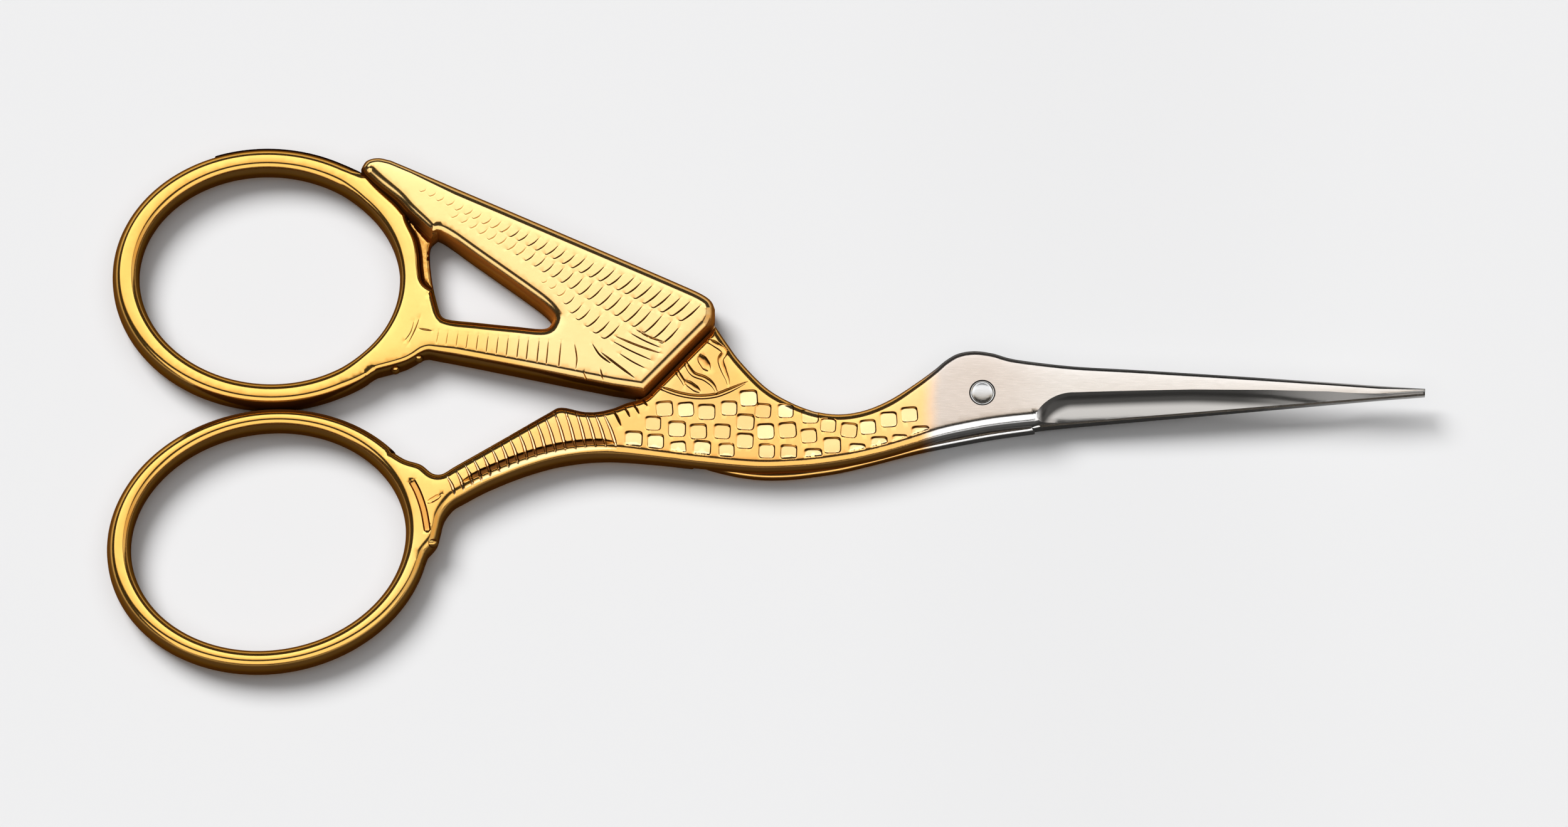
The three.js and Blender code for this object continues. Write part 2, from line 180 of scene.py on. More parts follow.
REAR_BELLY = [
    (-22.8, -6.55), (-21.1, -6.92), (-19.0, -7.14), (-16.8, -7.1), (-14.6, -6.85), (-12.4, -6.5),
    (-10.2, -5.98), (-8.0, -5.4), (-5.8, -4.8), (-3.6, -4.3), (-0.3, -3.65), (1.9, -3.28),
    (BLADE_ROOT, -2.9),
]
HIDDEN_BACK = [(-24.5, 7.0), (-31.5, 4.0), (-30.4, 0.4)]
BREAST = [(-30.4, 0.4), (-29.7, -1.6), (-28.2, -3.6), (-26.2, -5.2), (-24.3, -6.1), (-22.8, -6.55)]
SHOULDER_CLEARANCE = 0.45
WING_CORNER = (-23.4, 6.6)
WING_BACK = [
    (-23.35, 7.6), (-23.7, 8.35), (-24.6, 9.0), (-26.6, 9.93), (-31.0, 11.88), (-42.0, 16.72), (-50.7, 20.5),
    (-52.0, 21.0), (-53.0, 21.15), (-53.9, 20.85), (-54.4, 20.0),
]
WING_GAP = 0.12
STRUT_UNDER = [
    (-52.8, 2.0), (-51.6, 2.32), (-50.4, 2.7), (-49.6, 3.1), (-48.6, 3.62), (-47.4, 3.45),
    (-42.0, 2.35), (-36.5, 1.2), (-32.2, 0.33),
]
OPENING_TOP = [(-37.5, 6.6), (-38.2, 7.45), (-39.8, 8.72), (-44.2, 11.9), (-46.8, 13.8), (-47.6, 14.25)]
OPENING_SIDE = [(-47.6, 14.25), (-48.2, 13.6), (-48.3, 12.4), (-48.1, 10.4), (-47.8, 8.9), (-47.4, 7.4)]
OPENING_LOW = [(-47.4, 7.4), (-46.8, 6.85), (-44.2, 6.5), (-40.9, 6.1), (-38.2, 5.85), (-37.5, 6.6)]
# Where the rings' outsides leave the rest and meet it again, in degrees, and the upper ring's whole free side
LOWER_ARC = (30, 337)
UPPER_ARC = (55, 311)
FREE_ARC = (-8, UPPER_ARC[0] - 360)


def beside_ear(share):
    """A point of the wing's front edge, which runs beside the ear"""
    start, end = (np.array(point) for point in EAR_LINE)
    along = end - start
    across = np.array([along[1], -along[0]]) / np.linalg.norm(along) * WING_GAP
    return tuple(start + along * share + across)


WING_TOP = beside_ear(0.07)
WING_FOOT = beside_ear(1.12)


def smooth_curve(points, spans=24):
    """Points along the smooth curve that passes through the given ones"""
    points = np.array(points, float)
    if len(points) < 3:
        return points
    padded = np.vstack([points[:1], points, points[-1:]])
    t = np.linspace(0, 1, spans, endpoint=False)[:, None]
    pieces = []
    for a, b, c, d in zip(padded, padded[1:], padded[2:], padded[3:]):
        leaving, arriving = (c - a) / 2, (d - b) / 2
        cubic = (2 * b - 2 * c + leaving + arriving) * t ** 3
        pieces.append(cubic + (3 * c - 3 * b - 2 * leaving - arriving) * t ** 2 + leaving * t + b)
    return np.vstack([*pieces, points[-1:]])


def evenly(line, step):
    """A line stepped evenly"""
    lengths = np.linalg.norm(np.diff(line, axis=0), axis=1)
    along = np.concatenate([[0], np.cumsum(lengths)])
    at = np.linspace(0, along[-1], max(1, round(along[-1] / step)) + 1)
    return np.column_stack([np.interp(at, along, column) for column in line.T])


def even_curve(points, step=1.0):
    return evenly(smooth_curve(points), step)


def closed_line(*curves):
    """Curves one after another, each without its last point"""
    return np.vstack([even_curve(points, OUTLINE_STEP)[:-1] for points in curves])


def stations(*pairs):
    """Blends between values given at places along the scissors"""
    places, values = zip(*pairs)
    columns = np.array(values, float).T
    if columns.ndim == 1:
        return lambda x: np.interp(x, places, columns)
    return lambda x: np.stack([np.interp(x, places, column) for column in columns], axis=-1)


# Rims as (how far they reach in from the outline, how far they drop), for the sides towards +Y and -Y
RING_RIM = (0.8, 1.5)
BLADE_ROOT_RIM = (1.0, 1.15)
SHARP_RIM = (0.1, 0.1)
SIDE_BLEND = 0.3
far_rim = stations(
    (-50, RING_RIM), (-46, (0.8, 1.1)), (-24, (0.8, 0.9)), (-8, (0.8, 0.9)), (-3, (0.55, 0.5)),
    (BLADE_START, (0.46, 0.44)), (BLADE_REACH - 4, (0.4, 0.4)), (BLADE_REACH, (0.14, 0.15)),
)
near_rim = stations(
    (-50, RING_RIM), (-46, (1.1, 1.6)), (-34, (1.1, 1.6)), (-28, (0.85, 1.1)), (-8, (0.85, 1.1)),
    (-3, BLADE_ROOT_RIM), (BLADE_START, BLADE_ROOT_RIM), (BLADE_START + 2, SHARP_RIM),
)
far_wing_rim = stations((-56, RING_RIM), (-54, (0.6, 1.1)), (-50, (0.6, 1.1)), (-46, (0.9, 1.2)))
near_wing_rim = stations((-56, RING_RIM), (-54, (0.6, 1.1)), (-50, (0.6, 1.1)), (-46, (0.95, 1.5)))


def rims(far, near):
    """The rim's width and drop. facing is how far the outline's inward side points to +Y."""

    def rim(x, facing):
        share = np.clip((facing + SIDE_BLEND) / (2 * SIDE_BLEND), 0, 1)[:, None]
        return lerp(far(x), near(x), share).T

    return rim


front_rim = rims(far_rim, near_rim)
plain_rim = rims(far_rim, far_rim)
wing_rim = rims(far_wing_rim, near_wing_rim)
plain_wing_rim = rims(far_wing_rim, far_wing_rim)
front_top = stations(
    (-50, RING_HEIGHT), (-46, FRONT_HIGH), (BLADE_START, FRONT_HIGH), (BLADE_REACH, FRONT_HIGH - TIP_LOSS),
)
front_under = stations((-50, 0), (-46, LEG_UNDERSIDE))
# The belly's lower rim grows until it meets the shoulder that rests on the other half
SHOULDER_SIDE = -4.0
shoulder_rim = stations((-36, 1.0), (-25.5, 1.75), (-23, 1.75))
rear_under = stations((BLADE_START, 0), (BLADE_REACH, TIP_LOSS))
hollow_width = stations((0, 0.47), (0.4, 0.53), (0.6, 0.51), (0.75, 0.42), (0.93, 0))


def unit(vectors):
    return vectors / np.linalg.norm(vectors, axis=1)[:, None]


def along_and_away(offset, along):
    """How far points are along segments, as a share, and away from them. offset is from a segment's start."""
    share = np.clip((offset * along).sum(-1) / ((along ** 2).sum(-1) + 1e-12), 0, 1)
    return share, np.linalg.norm(offset - along * share[..., None], axis=-1)


class Lines:
    """Closed outlines and open creases, for the distance from them and the nearest segment"""

    def __init__(self, loops, creases=()):
        rows = []
        first = 0
        for kind, line in enumerate([*loops, *creases]):
            closed = kind < len(loops)
            count = len(line) if closed else len(line) - 1
            k = np.arange(count)
            along = (np.roll(line, -1, axis=0) - line)[:count]
            before = first + ((k - 1) % count if closed else np.maximum(k - 1, 0))
            after = first + ((k + 1) % count if closed else np.minimum(k + 1, count - 1))
            rows.append((line[:count], along, before, after, np.full(count, kind)))
            first += count
        self.starts, self.along, self.before, self.after, self.kinds = map(np.concatenate, zip(*rows))
        self.facing = unit(self.along)[:, 0]
        self.tree = kdtree.KDTree(first)
        for k, (x, y) in enumerate(self.starts):
            self.tree.insert((x, y, 0), k)
        self.tree.balance()

    def measure(self, points):
        near = np.array([self.tree.find((x, y, 0))[1] for x, y in points])
        best, which = np.full(len(points), np.inf), near.copy()
        for segment in (near, self.before[near], self.after[near]):
            _, gap = along_and_away(points - self.starts[segment], self.along[segment])
            closer = gap < best - 1e-9
            best[closer], which[closer] = gap[closer], segment[closer]
        return best, which


class Spots:
    """Places on a plate, with how far the nearest line is, how it faces and which it is"""

    def __init__(self, plan, lines):
        self.plan = plan
        self.x, self.y = plan.T
        self.distance, segment = lines.measure(plan)
        self.facing = lines.facing[segment]
        self.kind = lines.kinds[segment]


def leftward(line):
    """The direction to the left of a line at each of its points"""
    x, y = unit(np.gradient(line, axis=0)).T
    return np.column_stack([-y, x])


# At a corner a rim reaches further in, but no further than its width divided by this
CORNER_LIMIT = 0.6


def offset_rows(loop, rim):
    """Points at the steps of an outline's rounded rim, with the distance each should have"""
    arriving = unit(loop - np.roll(loop, 1, axis=0))
    x, y = unit(arriving + np.roll(arriving, -1, axis=0)).T
    inward = np.column_stack([-y, x])
    stretch = np.maximum(x * arriving[:, 0] + y * arriving[:, 1], CORNER_LIMIT)
    width, _ = rim(loop[:, 0], inward[:, 1])
    reach = [width * (1 - math.cos(turn)) for turn in RIM_TURNS]
    points = np.vstack([loop + inward * (distance / stretch)[:, None] for distance in reach])
    return points, np.concatenate(reach)


def crease_rows(line, width):
    """The same on both sides of an open crease"""
    left = leftward(line)
    reach = [width * (1 - math.cos(turn)) for turn in RIM_TURNS]
    rows = [line + left * distance * side for distance in reach for side in (1, -1)]
    return np.vstack(rows), np.repeat(reach, 2 * len(line))


# The polished faces are not quite flat: they fall away a little towards their rims
PILLOW_WIDTH = 1.7
PILLOW_DROP = 0.035


def pillow(distance):
    return PILLOW_DROP * np.clip(1 - distance / PILLOW_WIDTH, 0, 1) ** 2


# A rim falls away from its crease at once, and then ever faster down to the outline
CREASE_SHARE = 0.35
CREASE_BLEND = 0.36


def rounded(distance, width):
    """How much of a rim's drop is left at a distance from the outline: 1 on it, 0 past the rim"""
    out = 1 - np.clip(distance / width, 0, 1)
    eased = np.where(out < CREASE_BLEND, out ** 2 / (2 * CREASE_BLEND), out - CREASE_BLEND / 2)
    return lerp(1 - np.sqrt(1 - out ** 4), eased / (1 - CREASE_BLEND / 2), CREASE_SHARE)


def thinned(fixed, fine, coarse):
    """Fixed points, then the finer and the coarser ones that keep clear of those before them"""
    square = LINE_MARGIN
    taken = {}

    def clear(x, y, gap):
        reach = math.ceil(gap / square)
        around = range(-reach, reach + 1)
        column, row = math.floor(x / square), math.floor(y / square)
        others = (other for i in around for j in around for other in taken.get((column + i, row + j), ()))
        return all(math.hypot(x - other[0], y - other[1]) >= gap for other in others)

    kept = []
    for points, gap in ((fixed, 0), (fine, FINE_GAP), (coarse, COARSE_GAP)):
        for x, y in points.tolist():
            if clear(x, y, gap):
                taken.setdefault((math.floor(x / square), math.floor(y / square)), []).append((x, y))
                kept.append((x, y))
    return kept


def grid_points(loops):
    """A staggered grid over the outlines"""
    low, high = loops[0].min(0), loops[0].max(0)
    rows = []
    for k, y in enumerate(np.arange(low[1], high[1], GRID_STEP * math.sqrt(3) / 2)):
        x = np.arange(low[0] + (k % 2) * GRID_STEP / 2, high[0], GRID_STEP)
        rows.append(np.column_stack([x, np.full(len(x), y)]))
    return np.vstack(rows)


# How far a rim's point may be out of its place: by a share, and a least distance
ROW_SLACK = (0.12, 0.002)
MERGE_DISTANCE = 1e-5


def plate(loops, top, under, rim, creases=(), crease_width=0.8, fine=()):
    """A closed mesh between two heights over an outline with holes, as vertices and triangles.
    top and under give the heights at some spots. fine holds points that the mesh needs."""
    lines = Lines(loops, creases)
    rows = [offset_rows(loop, rim) for loop in loops] + [crease_rows(line, crease_width) for line in creases]
    rows, reach = map(np.concatenate, zip(*rows))
    distance, _ = lines.measure(rows)
    rows = rows[np.abs(distance - reach) < ROW_SLACK[0] * reach + ROW_SLACK[1]]

    def clear(points):
        points = points[inside(points, loops)]
        return points[lines.measure(points)[0] > LINE_MARGIN]

    fixed = np.vstack([*loops, *creases, rows[inside(rows, loops)]])
    points = thinned(fixed, clear(fine) if len(fine) else np.zeros((0, 2)), clear(grid_points(loops)))
    edges = []
    first = 0
    for kind, line in enumerate([*loops, *creases]):
        count = len(line) - (kind >= len(loops))
        edges += [(first + k, first + (k + 1) % len(line)) for k in range(count)]
        first += len(line)
    flat = [Vector(point) for point in points]
    made, _, faces, *_ = geometry.delaunay_2d_cdt(flat, edges, [], 0, MERGE_DISTANCE, False)
    plan = np.array([(x, y) for x, y in made])
    triangles = np.array(faces)
    triangles = triangles[inside(plan[triangles].mean(axis=1), loops)]
    used, triangles = np.unique(triangles, return_inverse=True)
    triangles = triangles.reshape(-1, 3)
    spots = Spots(plan[used], lines)
    vertices = np.vstack([np.column_stack([spots.plan, height(spots)]) for height in (top, under)])
    count = len(used)
    a, b = border_edges(triangles).T
    walls = np.vstack([np.column_stack([a + count, b + count, b]), np.column_stack([a + count, b, a])])
    return vertices, np.vstack([triangles, triangles[:, ::-1] + count, walls])


def inside(points, loops):
    """Which points lie inside the first outline and outside the others, by counting crossings"""
    result = np.zeros(len(points), bool)
    starts = np.vstack(loops)
    ends = np.vstack([np.roll(loop, -1, axis=0) for loop in loops])
    low, high = np.minimum(starts, ends)[:, 1], np.maximum(starts, ends)[:, 1]
    order = np.argsort(points[:, 1])
    for block in np.array_split(order, max(1, len(points) // 400)):
        if not len(block):
            continue
        x, y = points[block].T[:, :, None]
        touched = (low <= y.max()) & (high >= y.min())
        (start_x, start_y), (end_x, end_y) = starts[touched].T, ends[touched].T
        crosses = (start_y > y) != (end_y > y)
        rise = np.where(end_y == start_y, 1.0, end_y - start_y)
        at = start_x + (y - start_y) / rise * (end_x - start_x)
        result[block] = (crosses & (at > x)).sum(1) % 2 == 1
    return result


def border_edges(triangles):
    """The edges that only one triangle has, in that triangle's direction"""
    edges = np.vstack([triangles[:, [0, 1]], triangles[:, [1, 2]], triangles[:, [2, 0]]])
    size = triangles.max() + 1
    forward = edges[:, 0] * size + edges[:, 1]
    backward = edges[:, 1] * size + edges[:, 0]
    return edges[~np.isin(forward, backward)]


# Meshes and cutting
def new_object(name, vertices, faces):
    mesh = bpy.data.meshes.new(name)
    faces = [[int(corner) for corner in face] for face in faces]
    mesh.from_pydata(np.asarray(vertices, float).tolist(), [], faces)
    piece = bpy.data.objects.new(name, mesh)
    bpy.context.scene.collection.objects.link(piece)
    return piece


def combine(piece, operation, *others):
    """Joins or cuts a piece with others, which are used up"""
    for other in others:
        step = piece.modifiers.new("combine", "BOOLEAN")
        step.solver = "MANIFOLD"
        step.operation = operation
        step.object = other
        bpy.context.view_layer.update()
        shaped = bpy.data.meshes.new_from_object(piece.evaluated_get(bpy.context.evaluated_depsgraph_get()))
        piece.modifiers.clear()
        piece.data = shaped
        bpy.data.objects.remove(other)
    return piece


def loft(rings, name="cutter"):
    """A closed body through rings that turn to the left, seen from where they lead"""
    sides = len(rings[0])
    last = (len(rings) - 1) * sides
    faces = [tuple(range(sides))[::-1], tuple(range(last, last + sides))]
    for r in range(len(rings) - 1):
        for i in range(sides):
            a, b = r * sides + i, r * sides + (i + 1) % sides
            faces.append((a, b, b + sides, a + sides))
    return new_object(name, np.vstack(rings), faces)


def circle(sides, radius=1.0):
    turn = np.linspace(0, 2 * math.pi, sides, endpoint=False)
    return np.column_stack([radius * np.cos(turn), radius * np.sin(turn)])


def turned(profile, name="cutter", sides=96):
    """A piece turned round the rivet's axis, by radius and height from its foot up"""
    return loft([np.column_stack([circle(sides, radius), np.full(sides, z)]) for radius, z in profile], name)


def grind(edge, edge_level, back, flat_level, sides=180, steps=60, round_steps=24):
    """The hollow that a grinding wheel leaves, with a round start"""

    def ring(x, radius, at):
        sharp = np.array([edge(at), edge_level])
        flat = np.array([lerp(edge(at), back(at), hollow_width(blade_share(at))), flat_level(at)])
        chord = flat - sharp
        away = np.array([-chord[1], chord[0]]) / np.linalg.norm(chord)
        centre = sharp + chord / 2 + away * math.sqrt(GRIND_RADIUS ** 2 - (chord @ chord) / 4)
        return np.column_stack([np.full(sides, x), centre + circle(sides, radius)])

    start = BLADE_START + GRIND_RUN_OUT
    turns = np.linspace(0.02, 1, round_steps, endpoint=False) * math.pi / 2
    round_end = [ring(start - GRIND_RADIUS * math.cos(t), GRIND_RADIUS * math.sin(t), start) for t in turns]
    return loft(round_end + [ring(x, GRIND_RADIUS, x) for x in np.linspace(start, BLADE_REACH + PAST, steps)])


def corners_of(mesh):
    corners = np.zeros(len(mesh.vertices) * 3)
    mesh.vertices.foreach_get("co", corners)
    return corners.reshape(-1, 3)


def finished(piece, body, node, material):
    """Smooths a piece's shading, brings it to metres and ties it to its body"""
    mesh = piece.data
    mesh.shade_smooth()
    mesh.set_sharp_from_angle(angle=SHARP_ANGLE)
    mesh.vertices.foreach_set("co", (corners_of(mesh) * MM).ravel())
    mesh.update()
    mesh.materials.clear()
    mesh.materials.append(material)
    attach(piece, body)
    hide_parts(node)


# Places in the photograph
PIXELS_PER_MM = 18.25
PIVOT_PIXEL = (1566.0, 642.8)
ELEVATION = math.radians(77)


def from_pixel(point, level=FRONT_HIGH):
    """The place on a surface of that height that a pixel of the photograph shows"""
    x, y = point
    rise = PIXELS_PER_MM * math.cos(ELEVATION) * level
    up = PIVOT_PIXEL[1] - rise - y
    return (x - PIVOT_PIXEL[0]) / PIXELS_PER_MM, up / (PIXELS_PER_MM * math.sin(ELEVATION))


class Stroke:
    """An engraved line: a groove along a curve, widest in the middle unless told otherwise"""

    def __init__(self, points, width, depth, taper=(0.3, 0.3), floor=0.0, darkness=0.85,
                 shade=0.2, pale=0.0):
        self.line = even_curve(points, STROKE_STEP)
        share = np.linspace(0, 1, len(self.line))
        swell = np.sqrt(np.clip(np.minimum(share / taper[0], (1 - share) / taper[1]), 0.02, 1))
        self.half = width / 2 * swell
        self.depth = depth * swell
        self.floor = floor
        self.darkness = darkness
        self.shade = shade
        self.pale = pale

    def mesh_points(self):
        """Points along the middle, the edges and the walls of the groove, and beside its edges"""
        left = leftward(self.line)
        wall = (1 + self.floor) / 2
        walls = [] if self.half.max() < FINE_STROKE else [wall, -wall, self.floor, -self.floor]
        reaches = [self.half * side for side in (0, 1, -1, *walls)]
        reaches += [self.half + GUARD, -(self.half + GUARD)]
        return np.vstack([self.line + left * reach[:, None] for reach in reaches])

    def near(self, points):
        low, high = self.line.min(0) - self.half.max(), self.line.max(0) + self.half.max()
        return ((points > low) & (points < high)).all(1)

    def cut(self, points):
        """How deep the groove is at each point, and its painted shade and painted highlight"""
        share, gap = along_and_away(points[:, None] - self.line[:-1], np.diff(self.line, axis=0))
        row, nearest = np.arange(len(points)), gap.argmin(1)
        share, gap = share[row, nearest], gap[row, nearest]
        half = lerp(self.half[nearest], self.half[nearest + 1], share)
        depth = lerp(self.depth[nearest], self.depth[nearest + 1], share)
        inward = np.minimum(np.clip(1 - gap / half, 0, 1) / (1 - self.floor), 1)
        dark = 4 * inward * (1 - inward) + self.shade * inward if self.floor else inward
        dark = dark * self.darkness * depth / self.depth.max()
        return np.column_stack([depth * inward, dark, np.clip(inward * 3 - 2, 0, 1) * self.pale])


BELLY_CURVE = smooth_curve(BELLY)
CELL_FADE = 0.15


def above_rim(points):
    """How much of a cell is left at each point: none on the belly's rounded rim"""
    crease = np.interp(points[:, 0], *BELLY_CURVE.T) + near_rim(points[:, 0])[:, 0]
    return np.clip((points[:, 1] - crease) / CELL_FADE, 0, 1)


def by_side(values, places):
    """The values, given as (low side, high side) for x and y, on each place's side of a cell"""
    low, high = np.array(values).T
    return np.where(places > 0, high, low)


class Cell:
    """A stamped scale: a rounded square with a tilted floor and walls"""

    half = np.array([0.79, 0.69])
    walls = [(0.2, 0.11), (0.08, 0.13)]
    # Painted shade on the walls, by the side of the cell: -x and +x, then -y and +y
    darkness = [(0.15, 1.0), (0.6, 0.75)]
    tilt = (0.3, 0.1)
    power = 5
    reach = 1.2

    def __init__(self, centre, size, turn, depth, pale):
        self.centre = np.array(centre)
        self.size = size
        self.turn = turn
        self.depth = depth
        self.pale = pale

    def outline(self, inset, sides=44):
        """Points round the cell, in from its edge by a share of each wall"""
        round_line = circle(sides)
        square = round_line * (np.abs(round_line) ** self.power).sum(1)[:, None] ** (-1 / self.power)
        return square * (self.half - by_side(self.walls, square) * inset)

    def mesh_points(self):
        """Points along the edge, the wall and the floor, and beside the edge and the wall's foot"""
        edge, foot = self.outline(0.0), self.outline(1.0)
        guard = GUARD / self.half
        rings = [edge, self.outline(0.5), foot, edge * (1 + guard), foot * (1 - guard)]
        return rotated(np.vstack([*rings, foot * 0.7, foot * 0.35]), self.turn) * self.size + self.centre

    def near(self, points):
        return (np.abs(points - self.centre) < self.size * self.reach).all(1)

    def cut(self, points):
        """How deep the cell is at each point, and its painted shade and painted highlight"""
        local = rotated((points - self.centre) / self.size, -self.turn)
        # The share of the way in from the edge, along the line from the cell's middle
        spread = np.abs(local / self.half) ** self.power
        size = np.maximum(spread.sum(1) ** (1 / self.power), 1e-6)
        mostly_x = spread[:, 0] / size ** self.power
        wide, tall = (by_side(self.walls, local) / self.half).T
        rise = np.clip((1 - size) / lerp(tall, wide, mostly_x), 0, 1)
        dark_x, dark_y = by_side(self.darkness, local).T
        x, y = local.T
        slant = 1 - self.tilt[1] * y / self.half[1] + self.tilt[0] * x / self.half[0]
        dark = 4 * rise * (1 - rise) * lerp(dark_y, dark_x, mostly_x)
        pale = np.clip(rise * 2 - 1, 0, 1) * self.pale
        return np.column_stack([self.depth * rise * slant, dark, pale]) * above_rim(points)[:, None]


def deepest(features, points):
    """The depth of the engraving at each point, and its painted shade and painted highlight"""
    result = np.zeros((len(points), 3))
    for feature in features:
        near = feature.near(points)
        result[near] = np.maximum(result[near], feature.cut(points[near]))
    return result


def fine_points(features):
    return np.vstack([feature.mesh_points() for feature in features])


def mark(mesh, name, values):
    """Keeps a value for each corner with the mesh"""
    mesh.attributes.new(name, "FLOAT", "POINT").data.foreach_set("value", values)


def mark_painted_light(mesh, features, upper, lower=-PAST, web=None):
    """Marks the engraving's painted shade and painted highlight, above one height and below another, and
    painted shade over the sunken web
    """
    x, y, z = corners_of(mesh).T
    plan = np.column_stack([x, y])
    engraved = (z > upper) | (z < lower)
    dark, pale = np.zeros((2, len(plan)))
    dark[engraved], pale[engraved] = deepest(features, plan[engraved])[:, 1:].T
    # Painted shade over the sunken web, varied at random
    if web is not None:
        sunken = inside(plan, [web])
        spread = (-WEB_SHADE_SPREAD, WEB_SHADE_SPREAD)
        dark[sunken] = np.maximum(dark[sunken], WEB_SHADE + rng.uniform(*spread, sunken.sum()))
    mark(mesh, "recess_shade", dark)
    mark(mesh, "pale", pale)


def mark_flank_reflection(mesh, lines, reach):
    """Marks the flanks close to some lines, where a painted reflection of the nearby gilding turns their
    painted shade amber
    """
    x, y, z = corners_of(mesh).T
    distance = np.full(len(z), reach)
    near = np.flatnonzero(z > FRONT_LOW)
    for line in lines:
        measured, _ = Lines([], [evenly(line, 1.0)]).measure(np.column_stack([x, y])[near])
        distance[near] = np.minimum(distance[near], measured)
    mark(mesh, "flank_reflection", 1 - distance / reach)


# Engraving of the front half, by pixels of the photograph
CELL_PIXELS = [
    (1059, 652), (1093, 653), (1126, 657), (1162, 651), (1193, 635), (1216, 655), (1252, 655), (1291, 663),
    (1320, 678), (1353, 686), (1383, 681), (1416, 669), (1449, 661),
    (1041, 675), (1079, 684), (1113, 688), (1151, 688), (1188, 673), (1220, 688), (1255, 686), (1289, 695),
    (1326, 710), (1366, 719), (1401, 708), (1434, 704), (1467, 692),
    (1010, 700), (1045, 704), (1081, 715), (1119, 715), (1158, 718), (1187, 703), (1222, 719), (1257, 721),
    (1296, 728),
]
# The spans of the scales' sizes, turns, depths and painted highlights
CELL_SPANS = [(0.93, 1.07), (-0.1, 0.1), (0.05, 0.1), (0.2, 0.95)]


def stroke_at(pixels, width, depth, level=FRONT_HIGH, **shape):
    return Stroke([from_pixel(pixel, level) for pixel in pixels], width, depth, **shape)


def strokes(rows, level=FRONT_HIGH, **shape):
    """A stroke for each row of pixels, width, depth and what sets it apart from the shared shape"""
    return [stroke_at(*row[:3], level, **{**shape, **dict(*row[3:])}) for row in rows]


def body_cells():
    """The scales, whose floors take a painted highlight, paler than the gilding between them"""
    return [Cell(from_pixel(pixel), *(rng.uniform(*span) for span in CELL_SPANS)) for pixel in CELL_PIXELS]


LEG_GROOVES = 18
LEG_TOPS = [(712, 757), (815, 688), (895, 640), (960, 655)]
LEG_FEET = [(726, 788), (838, 735), (923, 717), (983, 712)]
LEG_GROOVE_BOW = (2.0, 0)
# The grooves take painted shade at their edges and a painted highlight on their floors
LEG_GROOVE = (0.34, 0.1, {"taper": (0.6, 0.15), "floor": 0.35, "darkness": 0.9, "shade": 0, "pale": 1.0})
LEG_CREASE = (-45.2, -31.5)


def at_share(line, share):
    return line[round(share * (len(line) - 1))]


def leg_grooves():
    tops, feet = (even_curve(pixels) for pixels in (LEG_TOPS, LEG_FEET))
    rows = []
    for share in np.linspace(0, 1, LEG_GROOVES):
        top, foot = at_share(tops, share), at_share(feet, share)
        rows.append(([top, (top + foot) / 2 + LEG_GROOVE_BOW, foot], *LEG_GROOVE))
    return strokes(rows)


def along_leg(share, width, depth, **shape):
    """A line that follows the leg's rounded rim, at a share of the rim's width"""
    line = evenly(BELLY_CURVE, 0.5)
    line = line[(line[:, 0] > LEG_CREASE[0]) & (line[:, 0] < LEG_CREASE[1])]
    reach, _ = near_rim(line[:, 0]).T
    return Stroke(line + leftward(line) * (reach * share)[:, None], width, depth, **shape)


EAR_STROKES = [
    ([(1037, 612), (1060, 621), (1085, 629), (1112, 633), (1139, 631), (1162, 623), (1192, 609)],
     0.46, 0.08, {"floor": 0.4, "taper": (0.2, 0.2)}),
    ([(1074, 581), (1081, 595), (1089, 608), (1092, 618)], 0.42, 0.08, {"floor": 0.4}),
    ([(1091, 607), (1105, 617), (1117, 626)], 0.62, 0.08, {"floor": 0.55}),
    ([(1088, 566), (1096, 584), (1106, 597), (1124, 604), (1137, 615), (1144, 630)],
     0.5, 0.08, {"floor": 0.5}),
    ([(1114, 566), (1122, 578), (1131, 592)], 0.9, 0.08, {"floor": 0.65, "darkness": 0.8}),
    ([(1109, 545), (1124, 542), (1142, 550), (1155, 561), (1149, 574), (1154, 591), (1160, 606), (1162, 620)],
     0.6, 0.08, {"floor": 0.55}),
    ([(1035, 623), (1041, 632)], 0.2, 0.06),
    ([(1022, 633), (1033, 648)], 0.26, 0.07),
    ([(1008, 640), (1020, 661)], 0.26, 0.07),
    ([(995, 647), (1005, 666)], 0.26, 0.07),
    ([(978, 653), (991, 680)], 0.3, 0.08),
]
FOOT_STROKES = [
    ([(656, 764), (667, 785), (676, 811), (681, 836), (683, 849)],
     0.66, 0.13, {"floor": 0.55, "taper": (0.05, 0.05), "darkness": 0.9, "shade": 0.3}),
    ([(681, 802), (693, 796), (705, 788)], 0.5, 0.08, {"floor": 0.6, "darkness": 0.8}),
]
# Beads, by their pixels, the height of their middle and their half sizes
FOOT_BEAD = ((689, 866), 3.1, (0.58, 0.42, 0.75))
ROOT_BEADS = [((667, 572), 2.5, (0.45, 0.36, 0.9)), ((630, 590), 2.5, (0.45, 0.36, 0.9))]


def bead(pixel, level, half, rings=9, sides=20):
    """A rounded bead with its flat ends across the scissors"""
    middle = np.array([*from_pixel(pixel, level), level])
    sections = []
    for slant in np.radians(np.linspace(-80, 80, rings)):
        section = np.column_stack([np.full(sides, math.sin(slant)), circle(sides, math.cos(slant))])
        sections.append(middle + section * half)
    return loft(sections)


